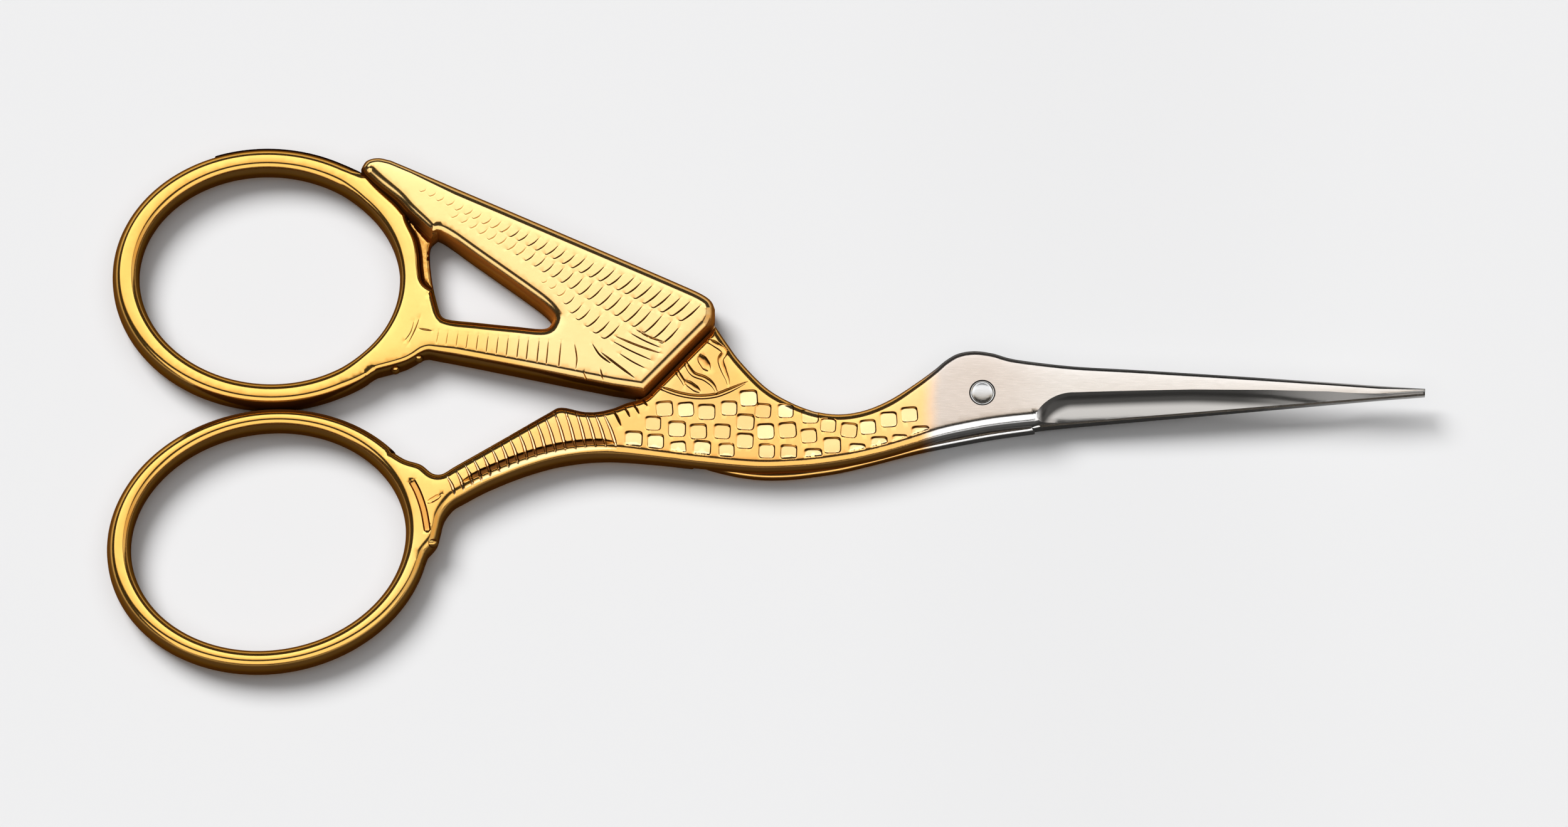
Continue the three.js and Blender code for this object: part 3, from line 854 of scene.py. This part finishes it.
def front_half(material):
    outline = np.vstack([
        closed_line(UPPER_LINE, EAR_LINE, LEG_TOP, FOOT_TOP),
        LOWER_RING.arc("outside", *LOWER_ARC),
        closed_line(FOOT_LOW, BELLY, along_blade(edge_at, [0, 1])),
        [(BLADE_REACH, edge_at(BLADE_REACH))],
    ])
    hole = LOWER_RING.arc("hole", 0, 360)[:-1][::-1]
    # Painted shade in a dark wedge along the leg's rim, and a painted highlight band on the rim
    crease = along_leg(1.14, 0.56, 0.04, taper=(0.12, 0.1), floor=0.45, darkness=1.0, shade=1.0)
    shine = along_leg(0.62, 0.6, 0.002, floor=0.3, darkness=0.0, pale=1.0)
    features = body_cells() + leg_grooves() + [crease, shine]
    features += strokes(EAR_STROKES, darkness=0.6) + strokes(FOOT_STROKES, RING_HEIGHT)

    def top(spots):
        width, drop = front_rim(spots.x, spots.facing)
        level = front_top(spots.x) - drop * rounded(spots.distance, width) - pillow(spots.distance)
        return level - deepest(features, spots.plan)[:, 0]

    def under(spots):
        width, drop = plain_rim(spots.x, spots.facing)
        drop = np.maximum(drop, shoulder_rim(spots.x) * (spots.y < SHOULDER_SIDE))
        return front_under(spots.x) + drop * rounded(spots.distance, width)

    plan = plate([outline, hole], top, under, front_rim, fine=fine_points(features))
    piece = new_object("front_half_forging", *plan)
    combine(piece, "UNION", bead(*FOOT_BEAD))
    shoulder = [(x - SHOULDER_CLEARANCE, y - SHOULDER_CLEARANCE) for x, y in BREAST]
    below = min(y for _, y in BELLY) - PAST
    above = EAR_LINE[0][1] + PAST
    far = BLADE_REACH + PAST
    milled = shoulder + [(shoulder[-1][0], below), (far, below), (far, above), (shoulder[0][0], above)]
    milling = loft([[(x, y, z) for x, y in milled] for z in (-PAST, FRONT_LOW)])
    hollow = grind(edge_at, FRONT_LOW + EDGE_THICKNESS, spine_at, front_top)
    sink = RIVET_HEAD_RADIUS + SINK_MARGIN
    rivet_hole = turned([
        (PIN_HOLE_RADIUS, FRONT_LOW - PAST), (PIN_HOLE_RADIUS, FRONT_HIGH - COUNTERSINK_DEPTH),
        (sink, FRONT_HIGH), (sink, FRONT_HIGH + PAST),
    ])
    combine(piece, "DIFFERENCE", milling, hollow, rivet_hole)
    mark_painted_light(piece.data, features, FRONT_LOW)
    finished(piece, "front", "front_half", material)


# The groove where the wing's tail lies on the ring, and the ring's side beside the sunken web, by pixels
TAIL_GROOVE = [(600, 297), (630, 323), (647, 342), (675, 369)]
WEB_CORNER = (687, 383)
RING_BY_WEB = [(652, 359), (663, 382), (668, 405), (670, 430), (675, 452)]
WEB_FOOT = (689, 466)
GROOVE_LEVEL = 3.6
GROOVE_UNDERSIDE = 0.5
NOTCH_BLEND = 1.2
CREASE_WIDTHS = (0.4, 1.0)
WEB_FALL = 0.3
WEB_ROUNDING = 0.45
# Painted shade over the sunken web, and how much it varies at random
WEB_SHADE = 0.24
WEB_SHADE_SPREAD = 0.08
# The edge of the rear half that shows below the belly, as a rim, and the bevel of its spine
BELLY_EDGE = (0.3, 0.25)
SPINE_BEVEL = (0.25, 0.055)
# Where the strut rises from the ring's height to the wing's, and how the wing's side of it slants
STRUT_RISE = (-49, -38)
STRUT_SLANT = 0.5
STRUT_BAR_LEVEL = 4.2
# How far from the wing's front edge and the opening the flanks take a painted reflection
FLANK_REFLECTION_REACH = 2.0

# Engraving of the rear half. A row of feathers goes by the lower ends of its strokes, from the tail to
# the front, by how many there are, and by how far each reaches up and to the right, first and last.
FEATHER_ROWS = [
    ([(673, 305), (763, 351), (852, 394), (912, 425), (973, 453), (1019, 476), (1059, 496), (1089, 510)],
     30, (6, -5), (28, -24)),
    ([(724, 346), (779, 379), (837, 412), (892, 446), (947, 480), (991, 506), (1059, 546)],
     24, (8, -7), (27, -27)),
    ([(868, 450), (895, 471), (921, 505), (946, 525), (968, 538)], 9, (4, -5), (23, -22)),
]
STRUT_BARS = [698, 713, 729, 745, 761, 777, 793, 809, 826, 841, 858, 873, 893]
STRUT_BAR_TOPS = (524, 545)
STRUT_BAR_FEET = (546, 588)
STRUT_BAR_LEAN = 2
# The width, the depth and the painted shade of the lines, at the tail and at the front
FEATHER = [(0.11, 0.17), (0.014, 0.04), (0.35, 0.85)]
STRUT_BAR = [(0.11, 0.17), (0.02, 0.05), (0.4, 0.85)]
# How far a feather is off its place, what its reach is multiplied by, and how far its tip curls
FEATHER_SHIFT = (-0.8, 0.8)
FEATHER_STRETCH = (0.9, 1.08)
FEATHER_CURL = (3.0, 5.0)
# The strokes that fan out at the wing's lower front corner
DEEP, THIN = (0.17, 0.05), (0.13, 0.03)
FANS = [
    ([(1014, 526), (1036, 538), (1060, 546)], *DEEP), ([(1004, 531), (1028, 544), (1054, 555)], *THIN),
    ([(980, 536), (1016, 551), (1054, 564)], *DEEP), ([(974, 543), (1006, 560), (1042, 576)], *THIN),
    ([(986, 563), (1008, 577), (1030, 588)], *THIN), ([(958, 562), (984, 582), (1012, 603)], 0.2, 0.06),
    ([(944, 548), (956, 566), (974, 580)], *DEEP), ([(930, 592), (936, 606)], *DEEP),
    ([(916, 548), (920, 572), (918, 590)], *DEEP), ([(957, 588), (962, 606)], *DEEP),
]
ROOT_STROKES = [
    ([(670, 504), (662, 526), (650, 550)], 0.14, 0.04, {"taper": (0.5, 0.5), "darkness": 0.5}),
    ([(661, 508), (655, 530), (643, 546)], 0.11, 0.03, {"taper": (0.5, 0.5), "darkness": 0.4}),
    ([(668, 524), (689, 528)], 0.15, 0.05, {"darkness": 0.6}),
]


def graded(share, *spans):
    return [lerp(start, end, share) for start, end in spans]


def wing_feathers():
    """Each feather's lower side is a stroke that curls round its tip, deeper towards the front"""
    feathers = []
    for hooks, count, first, last in FEATHER_ROWS:
        line = even_curve(hooks)
        for share in np.linspace(0, 1, count):
            hook = at_share(line, share) + rng.uniform(*FEATHER_SHIFT, 2)
            reach = lerp(np.array(first), np.array(last), share) * rng.uniform(*FEATHER_STRETCH)
            width, depth, darkness, curl = graded(share, *FEATHER, FEATHER_CURL)
            way = [reach, reach * 0.45 + (1, 1), (0, 0), (-curl, 1), (-2 * curl, -1.5)]
            feathers.append((hook + np.array(way), width, depth, {"darkness": darkness}))
    return strokes(feathers, WING_HEIGHT, taper=(0.4, 0.4))


def strut_bars():
    bars = []
    for x in STRUT_BARS:
        share = (x - STRUT_BARS[0]) / (STRUT_BARS[-1] - STRUT_BARS[0])
        top, foot, *size, darkness = graded(share, STRUT_BAR_TOPS, STRUT_BAR_FEET, *STRUT_BAR)
        bar = [(x + STRUT_BAR_LEAN, top), (x - STRUT_BAR_LEAN, foot)]
        bars.append((bar, *size, {"darkness": darkness}))
    return strokes(bars, STRUT_BAR_LEVEL, taper=(0.5, 0.1))


def nearest(line, place):
    return np.hypot(*(line - place).T).argmin()


def between(loop, start, end):
    """The points of a closed line from one of its points to another, the shorter way round"""
    ways = [np.roll(way, -nearest(way, start), axis=0) for way in (loop, loop[::-1])]
    return min((way[:nearest(way, end) + 1] for way in ways), key=len)


def guided(start, pixels, level, end):
    """An even line from one point to another by way of some pixels"""
    way = [from_pixel(pixel, level) for pixel in pixels]
    return even_curve([start, *way, end], OUTLINE_STEP)


def rear_half(material):
    wing_outline = np.vstack([
        closed_line(STRUT_UNDER, [STRUT_UNDER[-1], WING_FOOT], [WING_FOOT, WING_TOP]),
        closed_line([WING_TOP, WING_CORNER, WING_BACK[0]], WING_BACK),
        UPPER_RING.arc("outside", *UPPER_ARC),
    ])
    hole = UPPER_RING.arc("hole", 0, 360)[:-1][::-1]
    opening = closed_line(OPENING_TOP, OPENING_SIDE, OPENING_LOW)[::-1]
    body_outline = np.vstack([
        closed_line([(x, y - REAR_TUCK) for x, y in UPPER_LINE]),
        closed_line([(NAPE[-1][0], NAPE[-1][1] - REAR_TUCK)] + HIDDEN_BACK, BREAST, REAR_BELLY),
        closed_line([REAR_BELLY[-1]] + along_blade(rear_spine_at, [0.03, 0.5, 1])),
        [(BLADE_REACH, rear_spine_at(BLADE_REACH))],
    ])
    corner = opening[nearest(opening, from_pixel(WEB_CORNER, WEB_HIGH))]
    foot = opening[nearest(opening, from_pixel(WEB_FOOT, WEB_HIGH))]
    notch = UPPER_RING.arc("outside", *UPPER_ARC)[0]
    groove = guided(notch, TAIL_GROOVE, GROOVE_LEVEL, corner)
    at_junction = nearest(groove, from_pixel(TAIL_GROOVE[2], GROOVE_LEVEL))
    ring_side = guided(groove[at_junction], RING_BY_WEB, WEB_HIGH, foot)
    web = np.vstack([groove[at_junction:], between(opening, corner, foot)[1:-1], ring_side[::-1][:-1]])
    ring_rest = UPPER_RING.arc("outside", *FREE_ARC)[:-1]
    ring_area = np.vstack([groove[:at_junction], ring_side, ring_rest])
    features = wing_feathers() + strokes(FANS, WING_HEIGHT, darkness=0.8)
    features += strut_bars() + strokes(ROOT_STROKES, RING_HEIGHT)

    def handle(spots, rim, high_ring, high_wing, groove_level, web_level):
        """Heights of the upper side, or of the lower one turned over"""
        on_the_ring = inside(spots.plan, [ring_area])
        strut = np.interp(spots.x, STRUT_RISE, (high_ring, high_wing))
        start_x, start_y = OPENING_TOP[0]
        above_opening = spots.y > start_y - STRUT_SLANT * np.minimum(spots.x - start_x, 0)
        high = np.where(on_the_ring, high_ring, np.where(above_opening, high_wing, strut))
        width, drop = rim(spots.x, spots.facing)
        web_side = web_level - WEB_FALL
        low = np.interp(spots.x, (notch[0], corner[0]), (groove_level, web_side))
        away = np.min([np.hypot(*(spots.plan - end).T) for end in (notch, corner, foot)], axis=0)
        drop = lerp(high - low, drop, np.clip(away / NOTCH_BLEND, 0, 1))
        # The outline, the hole and the opening are lines 0 to 2, the groove is 3 and the ring's side 4
        crease = spots.kind > 2
        drop = np.where(crease, high - np.where(spots.kind == 3, low, web_side), drop)
        width = np.where(crease, np.where(on_the_ring, *CREASE_WIDTHS), width)
        level = high - drop * rounded(spots.distance, width) - pillow(spots.distance)
        level = level - deepest(features, spots.plan)[:, 0]
        sunken = web_level - WEB_FALL * rounded(spots.distance, WEB_ROUNDING)
        return np.where(inside(spots.plan, [web]), sunken, level)

    def wing_top(spots):
        return handle(spots, wing_rim, RING_HEIGHT, WING_HEIGHT, GROOVE_LEVEL, WEB_HIGH)

    def wing_under(spots):
        return -handle(spots, plain_wing_rim, 0.0, 0.0, -GROOVE_UNDERSIDE, -WEB_LOW)

    def body_top(spots):
        belly = BELLY_EDGE[1] * rounded(spots.distance, BELLY_EDGE[0])
        spine = SPINE_BEVEL[1] * np.clip(1 - spots.distance / SPINE_BEVEL[0], 0, 1)
        return HALF_THICKNESS - (spots.facing > 0.5) * np.where(spots.x < BLADE_START, belly, spine)

    def body_under(spots):
        width, drop = plain_rim(spots.x, spots.facing)
        return rear_under(spots.x) + drop * rounded(spots.distance, width)

    wing = new_object("rear_half_forging", *plate(
        [wing_outline, hole, opening], wing_top, wing_under, wing_rim,
        [groove, ring_side], CREASE_WIDTHS[1], fine_points(features),
    ))
    body = new_object("body", *plate([body_outline], body_top, body_under, plain_rim))
    hollow = grind(rear_edge_at, HALF_THICKNESS - EDGE_THICKNESS, rear_spine_at, rear_under)
    tail_hole = RIVET_TAIL_RADIUS + RIVET_CLEARANCE
    rivet_hole = turned([
        (tail_hole, -PAST), (tail_hole, 0),
        (PIN_HOLE_RADIUS, COUNTERSINK_DEPTH + RIVET_CLEARANCE), (PIN_HOLE_RADIUS, HALF_THICKNESS + PAST),
    ])
    combine(body, "DIFFERENCE", hollow)
    combine(wing, "UNION", body, *(bead(*place) for place in ROOT_BEADS))
    combine(wing, "DIFFERENCE", rivet_hole)
    mark_painted_light(wing.data, features, HALF_THICKNESS + RIVET_CLEARANCE, BLADE_TIP_THICKNESS, web)
    front_edge = np.array([WING_FOOT, WING_TOP, WING_CORNER])
    mark_flank_reflection(wing.data, [front_edge, smooth_curve(OPENING_TOP)], FLANK_REFLECTION_REACH)
    finished(wing, "rear", "rear_half", material)


# The rivet's head from its edge inwards, as radius and height
RIVET_HEAD = [
    (1.025, 3.88), (1.05, 3.93), (1.06, 3.975), (1.035, 4.005), (0.99, 4.01), (0.94, 3.985), (0.9, 3.96),
    (0.86, 3.965), (0.78, 3.995), (0.6, 4.025), (0.4, 4.04), (0.2, 4.047), (0.01, 4.05),
]
RIVET_TAIL = [(1.33, 0), (RIVET_TAIL_RADIUS, 0.03), (RIVET_RADIUS, COUNTERSINK_DEPTH)]


def rivet(material):
    neck = [(RIVET_RADIUS, FRONT_HIGH - COUNTERSINK_DEPTH)]
    piece = turned(RIVET_TAIL + neck + RIVET_HEAD, "rivet_turning")
    finished(piece, "rear", "pivot_rivet", material)


# Materials
class Graph:
    """Short ways to add nodes to a material or to the world"""

    def __init__(self, owner):
        owner.use_nodes = True
        self.tree = owner.node_tree
        self.tree.nodes.clear()

    def add(self, kind, inputs=None, **settings):
        """A node with its settings. An input takes a value or another node's socket."""
        node = self.tree.nodes.new(kind)
        for name, value in settings.items():
            setattr(node, name, value)
        for name, value in (inputs or {}).items():
            if isinstance(value, bpy.types.NodeSocket):
                self.tree.links.new(value, node.inputs[name])
            else:
                node.inputs[name].default_value = value
        return node

    def math(self, operation, a, b=0.0):
        return self.add("ShaderNodeMath", {0: a, 1: b}, operation=operation).outputs[0]

    def times(self, a, b):
        return self.math("MULTIPLY", a, b)

    def plus(self, a, b):
        return self.math("ADD", a, b)

    def ramp(self, value, low, high, start=0.0, end=1.0, kind="SMOOTHSTEP"):
        return self.add("ShaderNodeMapRange", {
            "Value": value, "From Min": low, "From Max": high, "To Min": start, "To Max": end,
        }, interpolation_type=kind).outputs["Result"]

    def mix(self, share, a, b):
        """A blend of two colours"""
        return self.add("ShaderNodeMix", {0: share, 6: a, 7: b}, data_type="RGBA").outputs[2]

    def mix_value(self, share, a, b):
        return self.add("ShaderNodeMix", {"Factor": share, "A": a, "B": b}, data_type="FLOAT").outputs[0]

    def parts(self, vector):
        return self.add("ShaderNodeSeparateXYZ", {0: vector}).outputs

    def attribute(self, name):
        return self.add("ShaderNodeAttribute", attribute_name=name).outputs["Fac"]

    def noise(self, coordinates, scale, detail=2.0, stretch=(1, 1, 1)):
        mapping = self.add("ShaderNodeMapping", {"Vector": coordinates, "Scale": stretch})
        return self.add("ShaderNodeTexNoise", {
            "Vector": mapping.outputs[0], "Scale": scale, "Detail": detail, "Roughness": 0.6,
        }).outputs["Fac"]


# The gilding's tone along the scissors, by millimetres from the rivet: it is palest at the wing's tail
GILDING = [
    (-77, (0.84, 0.50, 0.125, 1)), (-56, (0.84, 0.52, 0.14, 1)), (-50, (0.85, 0.555, 0.17, 1)),
    (-38, (0.78, 0.48, 0.165, 1)), (-28, (0.78, 0.46, 0.16, 1)), (-19, (0.79, 0.44, 0.14, 1)),
    (-11, (0.84, 0.50, 0.17, 1)), (-5, (0.85, 0.51, 0.22, 1)),
]
BEVEL_GOLD = (0.86, 0.44, 0.10, 1)
PALE_GOLD = (0.95, 0.73, 0.40, 1)
# How pale the painted highlight on the wing's raised top is
WING_TOP_HIGHLIGHT = 0.42
AMBER = (0.46, 0.17, 0.02, 1)
RECESS_GOLD = (0.10, 0.036, 0.008, 1)
FLANK_SHADE_GOLD = (0.07, 0.022, 0.004, 1)
FLANK_REFLECTION_AMBER = (0.42, 0.13, 0.02, 1)
EDGE_GOLD = (0.90, 0.42, 0.10, 1)
EDGE_STEEL = (0.8, 0.8, 0.8, 1)
STEEL = (0.60, 0.535, 0.49, 1)
BLADE_STEEL = (0.65, 0.615, 0.585, 1)
HOLLOW_SHADE_STEEL = (0.44, 0.425, 0.405, 1)
HIGHLIGHT_STEEL = (0.92, 0.905, 0.885, 1)
RIVET_STEEL = (0.56, 0.565, 0.57, 1)
RECESS_STEEL = (0.06, 0.055, 0.05, 1)
FLANK_SHADE_STEEL = (0.05, 0.048, 0.045, 1)
# Where the finish, the painted shade and the painted highlight change, in millimetres from the rivet
GILDING_FADE = (-5.6, -3.6)
BLADE_FADE = (0.0, 8.0)
HOLLOW_FADE = (5.0, 7.0)
FLANK_FADE = (22, 32)
HIGHLIGHT_UNDER = (-0.5, -1.5)
HIGHLIGHT_BEFORE = (5.3, 4.6)
# The same by slope, where 1 is level and 0 upright
GOLD_FLANK = (0.74, 0.52)
STEEL_FLANK = (0.84, 0.74)
BEVEL = (0.995, 0.8)
HOLLOW = (0.985, 0.93)
HIGHLIGHT_BEVEL = (0.97, 0.9)
HIGHLIGHT_FOOT = (0.62, 0.5)
LEVEL_STEEL = (0.95, 0.995)
FLANK_SHADE_MIX = 0.93
BUMP_DISTANCE = 0.03


def tone(graph, x):
    first, last = GILDING[0][0], GILDING[-1][0]
    ramp = graph.add("ShaderNodeValToRGB", {0: graph.ramp(x, first * MM, last * MM, kind="LINEAR")})
    stops = ramp.color_ramp.elements
    for place, colour in GILDING:
        share = (place - first) / (last - first)
        stop = stops[0] if share == 0 else stops[-1] if share == 1 else stops.new(share)
        stop.color = colour
    return ramp.outputs[0]


def metal(name, gilded):
    """Polished gold plating that ends in satin steel at the head, or the steel alone, with painted shade on
    the flanks and in the engraving, and painted highlights
    """
    material = bpy.data.materials.new(name)
    graph = Graph(material)
    place = graph.add("ShaderNodeTexCoord")
    position = place.outputs["Object"]
    x, y, z = graph.parts(position)
    slope = graph.math("ABSOLUTE", graph.parts(place.outputs["Normal"])[2])
    recess_shade = graph.attribute("recess_shade")
    cloud = graph.noise(position, 180, 3)

    def fade(value, span, start=0.0, end=1.0):
        return graph.ramp(value, span[0] * MM, span[1] * MM, start, end)

    edge = graph.plus(x, graph.times(graph.math("SUBTRACT", cloud, 0.5), 0.0014))
    steel_share = fade(edge, GILDING_FADE) if gilded else 1.0
    # The flanks take painted shade. On the head's lower side the bevel takes a painted highlight instead,
    # which leaves the painted shade only at its foot
    bevel_highlight = graph.times(fade(y, HIGHLIGHT_UNDER), fade(x, HIGHLIGHT_BEFORE))
    steel_flank = graph.times(graph.ramp(slope, *STEEL_FLANK), fade(x, FLANK_FADE, 1.0, 0.25))
    steel_flank = graph.times(steel_flank, graph.mix_value(bevel_highlight, 1.0, graph.ramp(slope, *HIGHLIGHT_FOOT)))
    flank_shade_share = graph.mix(steel_share, graph.ramp(slope, *GOLD_FLANK), steel_flank)

    gold = graph.mix(graph.times(graph.ramp(cloud, 0.35, 0.7), 0.35), tone(graph, x), BEVEL_GOLD)
    # Painted reflection: sloping faces turn a deeper orange
    gold = graph.mix(graph.times(graph.ramp(slope, *BEVEL), 0.6), gold, BEVEL_GOLD)
    # Painted highlight: the wing's raised top and the marked engraving turn paler
    raised_highlight = fade(z, (FRONT_HIGH, WING_HEIGHT), 0.0, WING_TOP_HIGHLIGHT)
    gold = graph.mix(graph.math("MAXIMUM", graph.attribute("pale"), raised_highlight), gold, PALE_GOLD)
    steel = graph.mix(fade(x, BLADE_FADE), STEEL if gilded else RIVET_STEEL, BLADE_STEEL)
    # Painted shade on the hollow grind's sloped faces, past its start
    hollow = graph.times(graph.ramp(slope, *HOLLOW), fade(x, HOLLOW_FADE))
    steel = graph.mix(hollow, steel, HOLLOW_SHADE_STEEL)
    # Painted highlight: the head's lower bevel towards -Y turns near white
    steel = graph.mix(graph.times(bevel_highlight, graph.ramp(slope, *HIGHLIGHT_BEVEL)), steel, HIGHLIGHT_STEEL)
    colour = graph.mix(steel_share, gold, steel)
    # Painted shade in the engraving and over the sunken web: amber at first, then dark brown, or dark grey on
    # the steel
    dark = graph.mix(steel_share, graph.mix(graph.ramp(recess_shade, 0.4, 1.0), AMBER, RECESS_GOLD), RECESS_STEEL)
    colour = graph.mix(graph.ramp(recess_shade, 0.0, 0.5), colour, dark)

    grain = graph.noise(position, 900, 2, stretch=(1, 14, 6))
    gold_rough = graph.ramp(graph.noise(position, 5200, 2), 0.2, 0.8, 0.1, 0.2, "LINEAR")
    steel_rough = graph.ramp(grain, 0.2, 0.8, 0.24, 0.34, "LINEAR")
    steel_rough = graph.times(steel_rough, graph.ramp(slope, *LEVEL_STEEL, 0.55, 1.0))
    waves = graph.times(graph.times(grain, steel_share), 0.5)
    waves = graph.plus(waves, graph.times(graph.noise(position, 1500, 3), 0.5))
    waves = graph.plus(waves, graph.times(cloud, 6.0))
    bump = graph.add("ShaderNodeBump", {"Height": waves, "Strength": 0.12, "Distance": BUMP_DISTANCE * MM})
    shine = graph.add("ShaderNodeBsdfPrincipled", {
        "Base Color": colour, "Metallic": 1.0, "Normal": bump.outputs[0],
        "Roughness": graph.mix_value(steel_share, gold_rough, steel_rough),
        "Specular Tint": graph.mix(steel_share, EDGE_GOLD, EDGE_STEEL),
    })
    # Painted shade on the flanks: near black, amber where a painted reflection of nearby gilding lies on them
    gold_flank = graph.mix(graph.attribute("flank_reflection"), FLANK_SHADE_GOLD, FLANK_REFLECTION_AMBER)
    painted_flank_shade = graph.add("ShaderNodeBsdfDiffuse", {"Color": graph.mix(steel_share, gold_flank, FLANK_SHADE_STEEL)})
    # The flanks turn mostly into that painted shade, a dark diffuse surface
    surface = graph.add("ShaderNodeMixShader", {
        0: graph.times(flank_shade_share, FLANK_SHADE_MIX), 1: shine.outputs[0], 2: painted_flank_shade.outputs[0],
    })
    graph.add("ShaderNodeOutputMaterial", {0: surface.outputs[0]})
    return material


# The paper dips a little under the blades, whose tips stand clear of it
PAPER_HALF = 800
PAPER_DIP = 1.5
DIP_START = -12
DIP_LENGTH = 45


def paper():
    across = np.concatenate([[-PAPER_HALF], np.linspace(-80, 60, 71), [PAPER_HALF]])
    down = [-PAPER_HALF, -60, 60, PAPER_HALF]
    dip = np.clip((across - DIP_START) / DIP_LENGTH, 0, 1)
    dip = -PAPER_DIP * dip ** 2 * (3 - 2 * dip)
    vertices = [(x * MM, y * MM, z * MM) for y in down for x, z in zip(across, dip)]
    count = len(across)
    corners = [r * count + c for r in range(len(down) - 1) for c in range(count - 1)]
    sheet = new_object("table", vertices, [(k, k + 1, k + count + 1, k + count) for k in corners])
    sheet.data.shade_smooth()
    material = bpy.data.materials.new("pale_paper")
    graph = Graph(material)
    surface = graph.add("ShaderNodeBsdfPrincipled", {
        "Base Color": (0.84, 0.84, 0.845, 1), "Roughness": 0.9, "Specular IOR Level": 0.1,
    })
    graph.add("ShaderNodeOutputMaterial", {0: surface.outputs[0]})
    sheet.data.materials.append(material)


WHITE = (1, 1, 1, 1)
WARM_LIGHT = (1.0, 0.84, 0.62, 1)
LAMPS = [("window", 2.65, 30, (0.5, -0.55, -1)), ("ceiling", 1.12, 80, (0.05, -0.1, -1))]
# Soft-edged panels round the scissors, by how far they lean from overhead, where 1 is at the horizon:
# from and to along x and along y, and how soft their edges are along each
OVERHEAD = ((-0.32, 0.26), (0.05, 0.32), (0.1, 0.045))
FRONT_PANEL = ((-0.5, 0.75), (-0.8, -0.33), (0.08, 0.05))
RIGHT_PANEL = ((0.42, 1.1), (-0.35, 0.2), (0.06, 0.06))
DIM_ROOM = 0.045


def studio():
    world = bpy.data.worlds.new("studio")
    bpy.context.scene.world = world
    graph = Graph(world)
    x, y, z = graph.parts(graph.add("ShaderNodeTexCoord").outputs["Generated"])
    lift = graph.math("MAXIMUM", graph.plus(z, 1.0), 0.05)
    leans = [graph.math("DIVIDE", part, lift) for part in (x, y)]

    def panel(*shape):
        light = 1.0
        *spans, softness = shape
        for lean, (start, end), soft in zip(leans, spans, softness):
            light = graph.times(light, graph.ramp(lean, start - soft, start))
            light = graph.times(light, graph.ramp(lean, end + soft, end))
        return light

    overhead = graph.times(panel(*OVERHEAD), graph.ramp(leans[1], 0.03, 0.2, 1.12, 1.85))
    light = graph.math("MAXIMUM", overhead, graph.times(panel(*FRONT_PANEL), 1.35))
    light = graph.math("MAXIMUM", light, graph.times(panel(*RIGHT_PANEL), 0.8))
    colour = graph.mix(graph.ramp(leans[1], 0.03, 0.13), WARM_LIGHT, WHITE)
    colour = graph.mix(graph.ramp(leans[1], -0.1, -0.2), colour, WHITE)
    background = graph.add("ShaderNodeBackground", {"Color": colour, "Strength": graph.plus(light, DIM_ROOM)})
    graph.add("ShaderNodeOutputWorld", {0: background.outputs[0]})

    # The lamps light the paper, and the metal mirrors the studio's panels alone
    world.cycles_visibility.diffuse = False
    for name, energy, angle, aim in LAMPS:
        lamp = bpy.data.lights.new(name, "SUN")
        lamp.energy = energy
        lamp.angle = math.radians(angle)
        source = bpy.data.objects.new(name, lamp)
        source.rotation_euler = Vector(aim).to_track_quat("-Z", "Y").to_euler()
        source.visible_glossy = False
        bpy.context.scene.collection.objects.link(source)


# The camera stands where the photograph's did: two metres away, through a long lens
CAMERA_DISTANCE = 2000.0
FRAME_WIDTH = 136.99
SENSOR = 36.0
TARGET = Vector((-17.315, -1.40, 2.0))


def camera():
    data = bpy.data.cameras.new("camera")
    data.sensor_width = SENSOR
    data.lens = SENSOR * CAMERA_DISTANCE / FRAME_WIDTH
    data.clip_start = 0.1
    data.clip_end = 10
    eye = bpy.data.objects.new("camera", data)
    back = Vector((0, -math.cos(ELEVATION), math.sin(ELEVATION)))
    eye.location = (TARGET + back * CAMERA_DISTANCE) * MM
    eye.rotation_euler = (-back).to_track_quat("-Z", "Y").to_euler()
    bpy.context.scene.collection.objects.link(eye)
    bpy.context.scene.camera = eye


camera()
paper()
studio()
gilding = metal("gilded_finish", gilded=True)
bare_steel = metal("rivet_finish", gilded=False)
front_half(gilding)
rear_half(gilding)
rivet(bare_steel)
bpy.context.scene.view_settings.view_transform = "Standard"
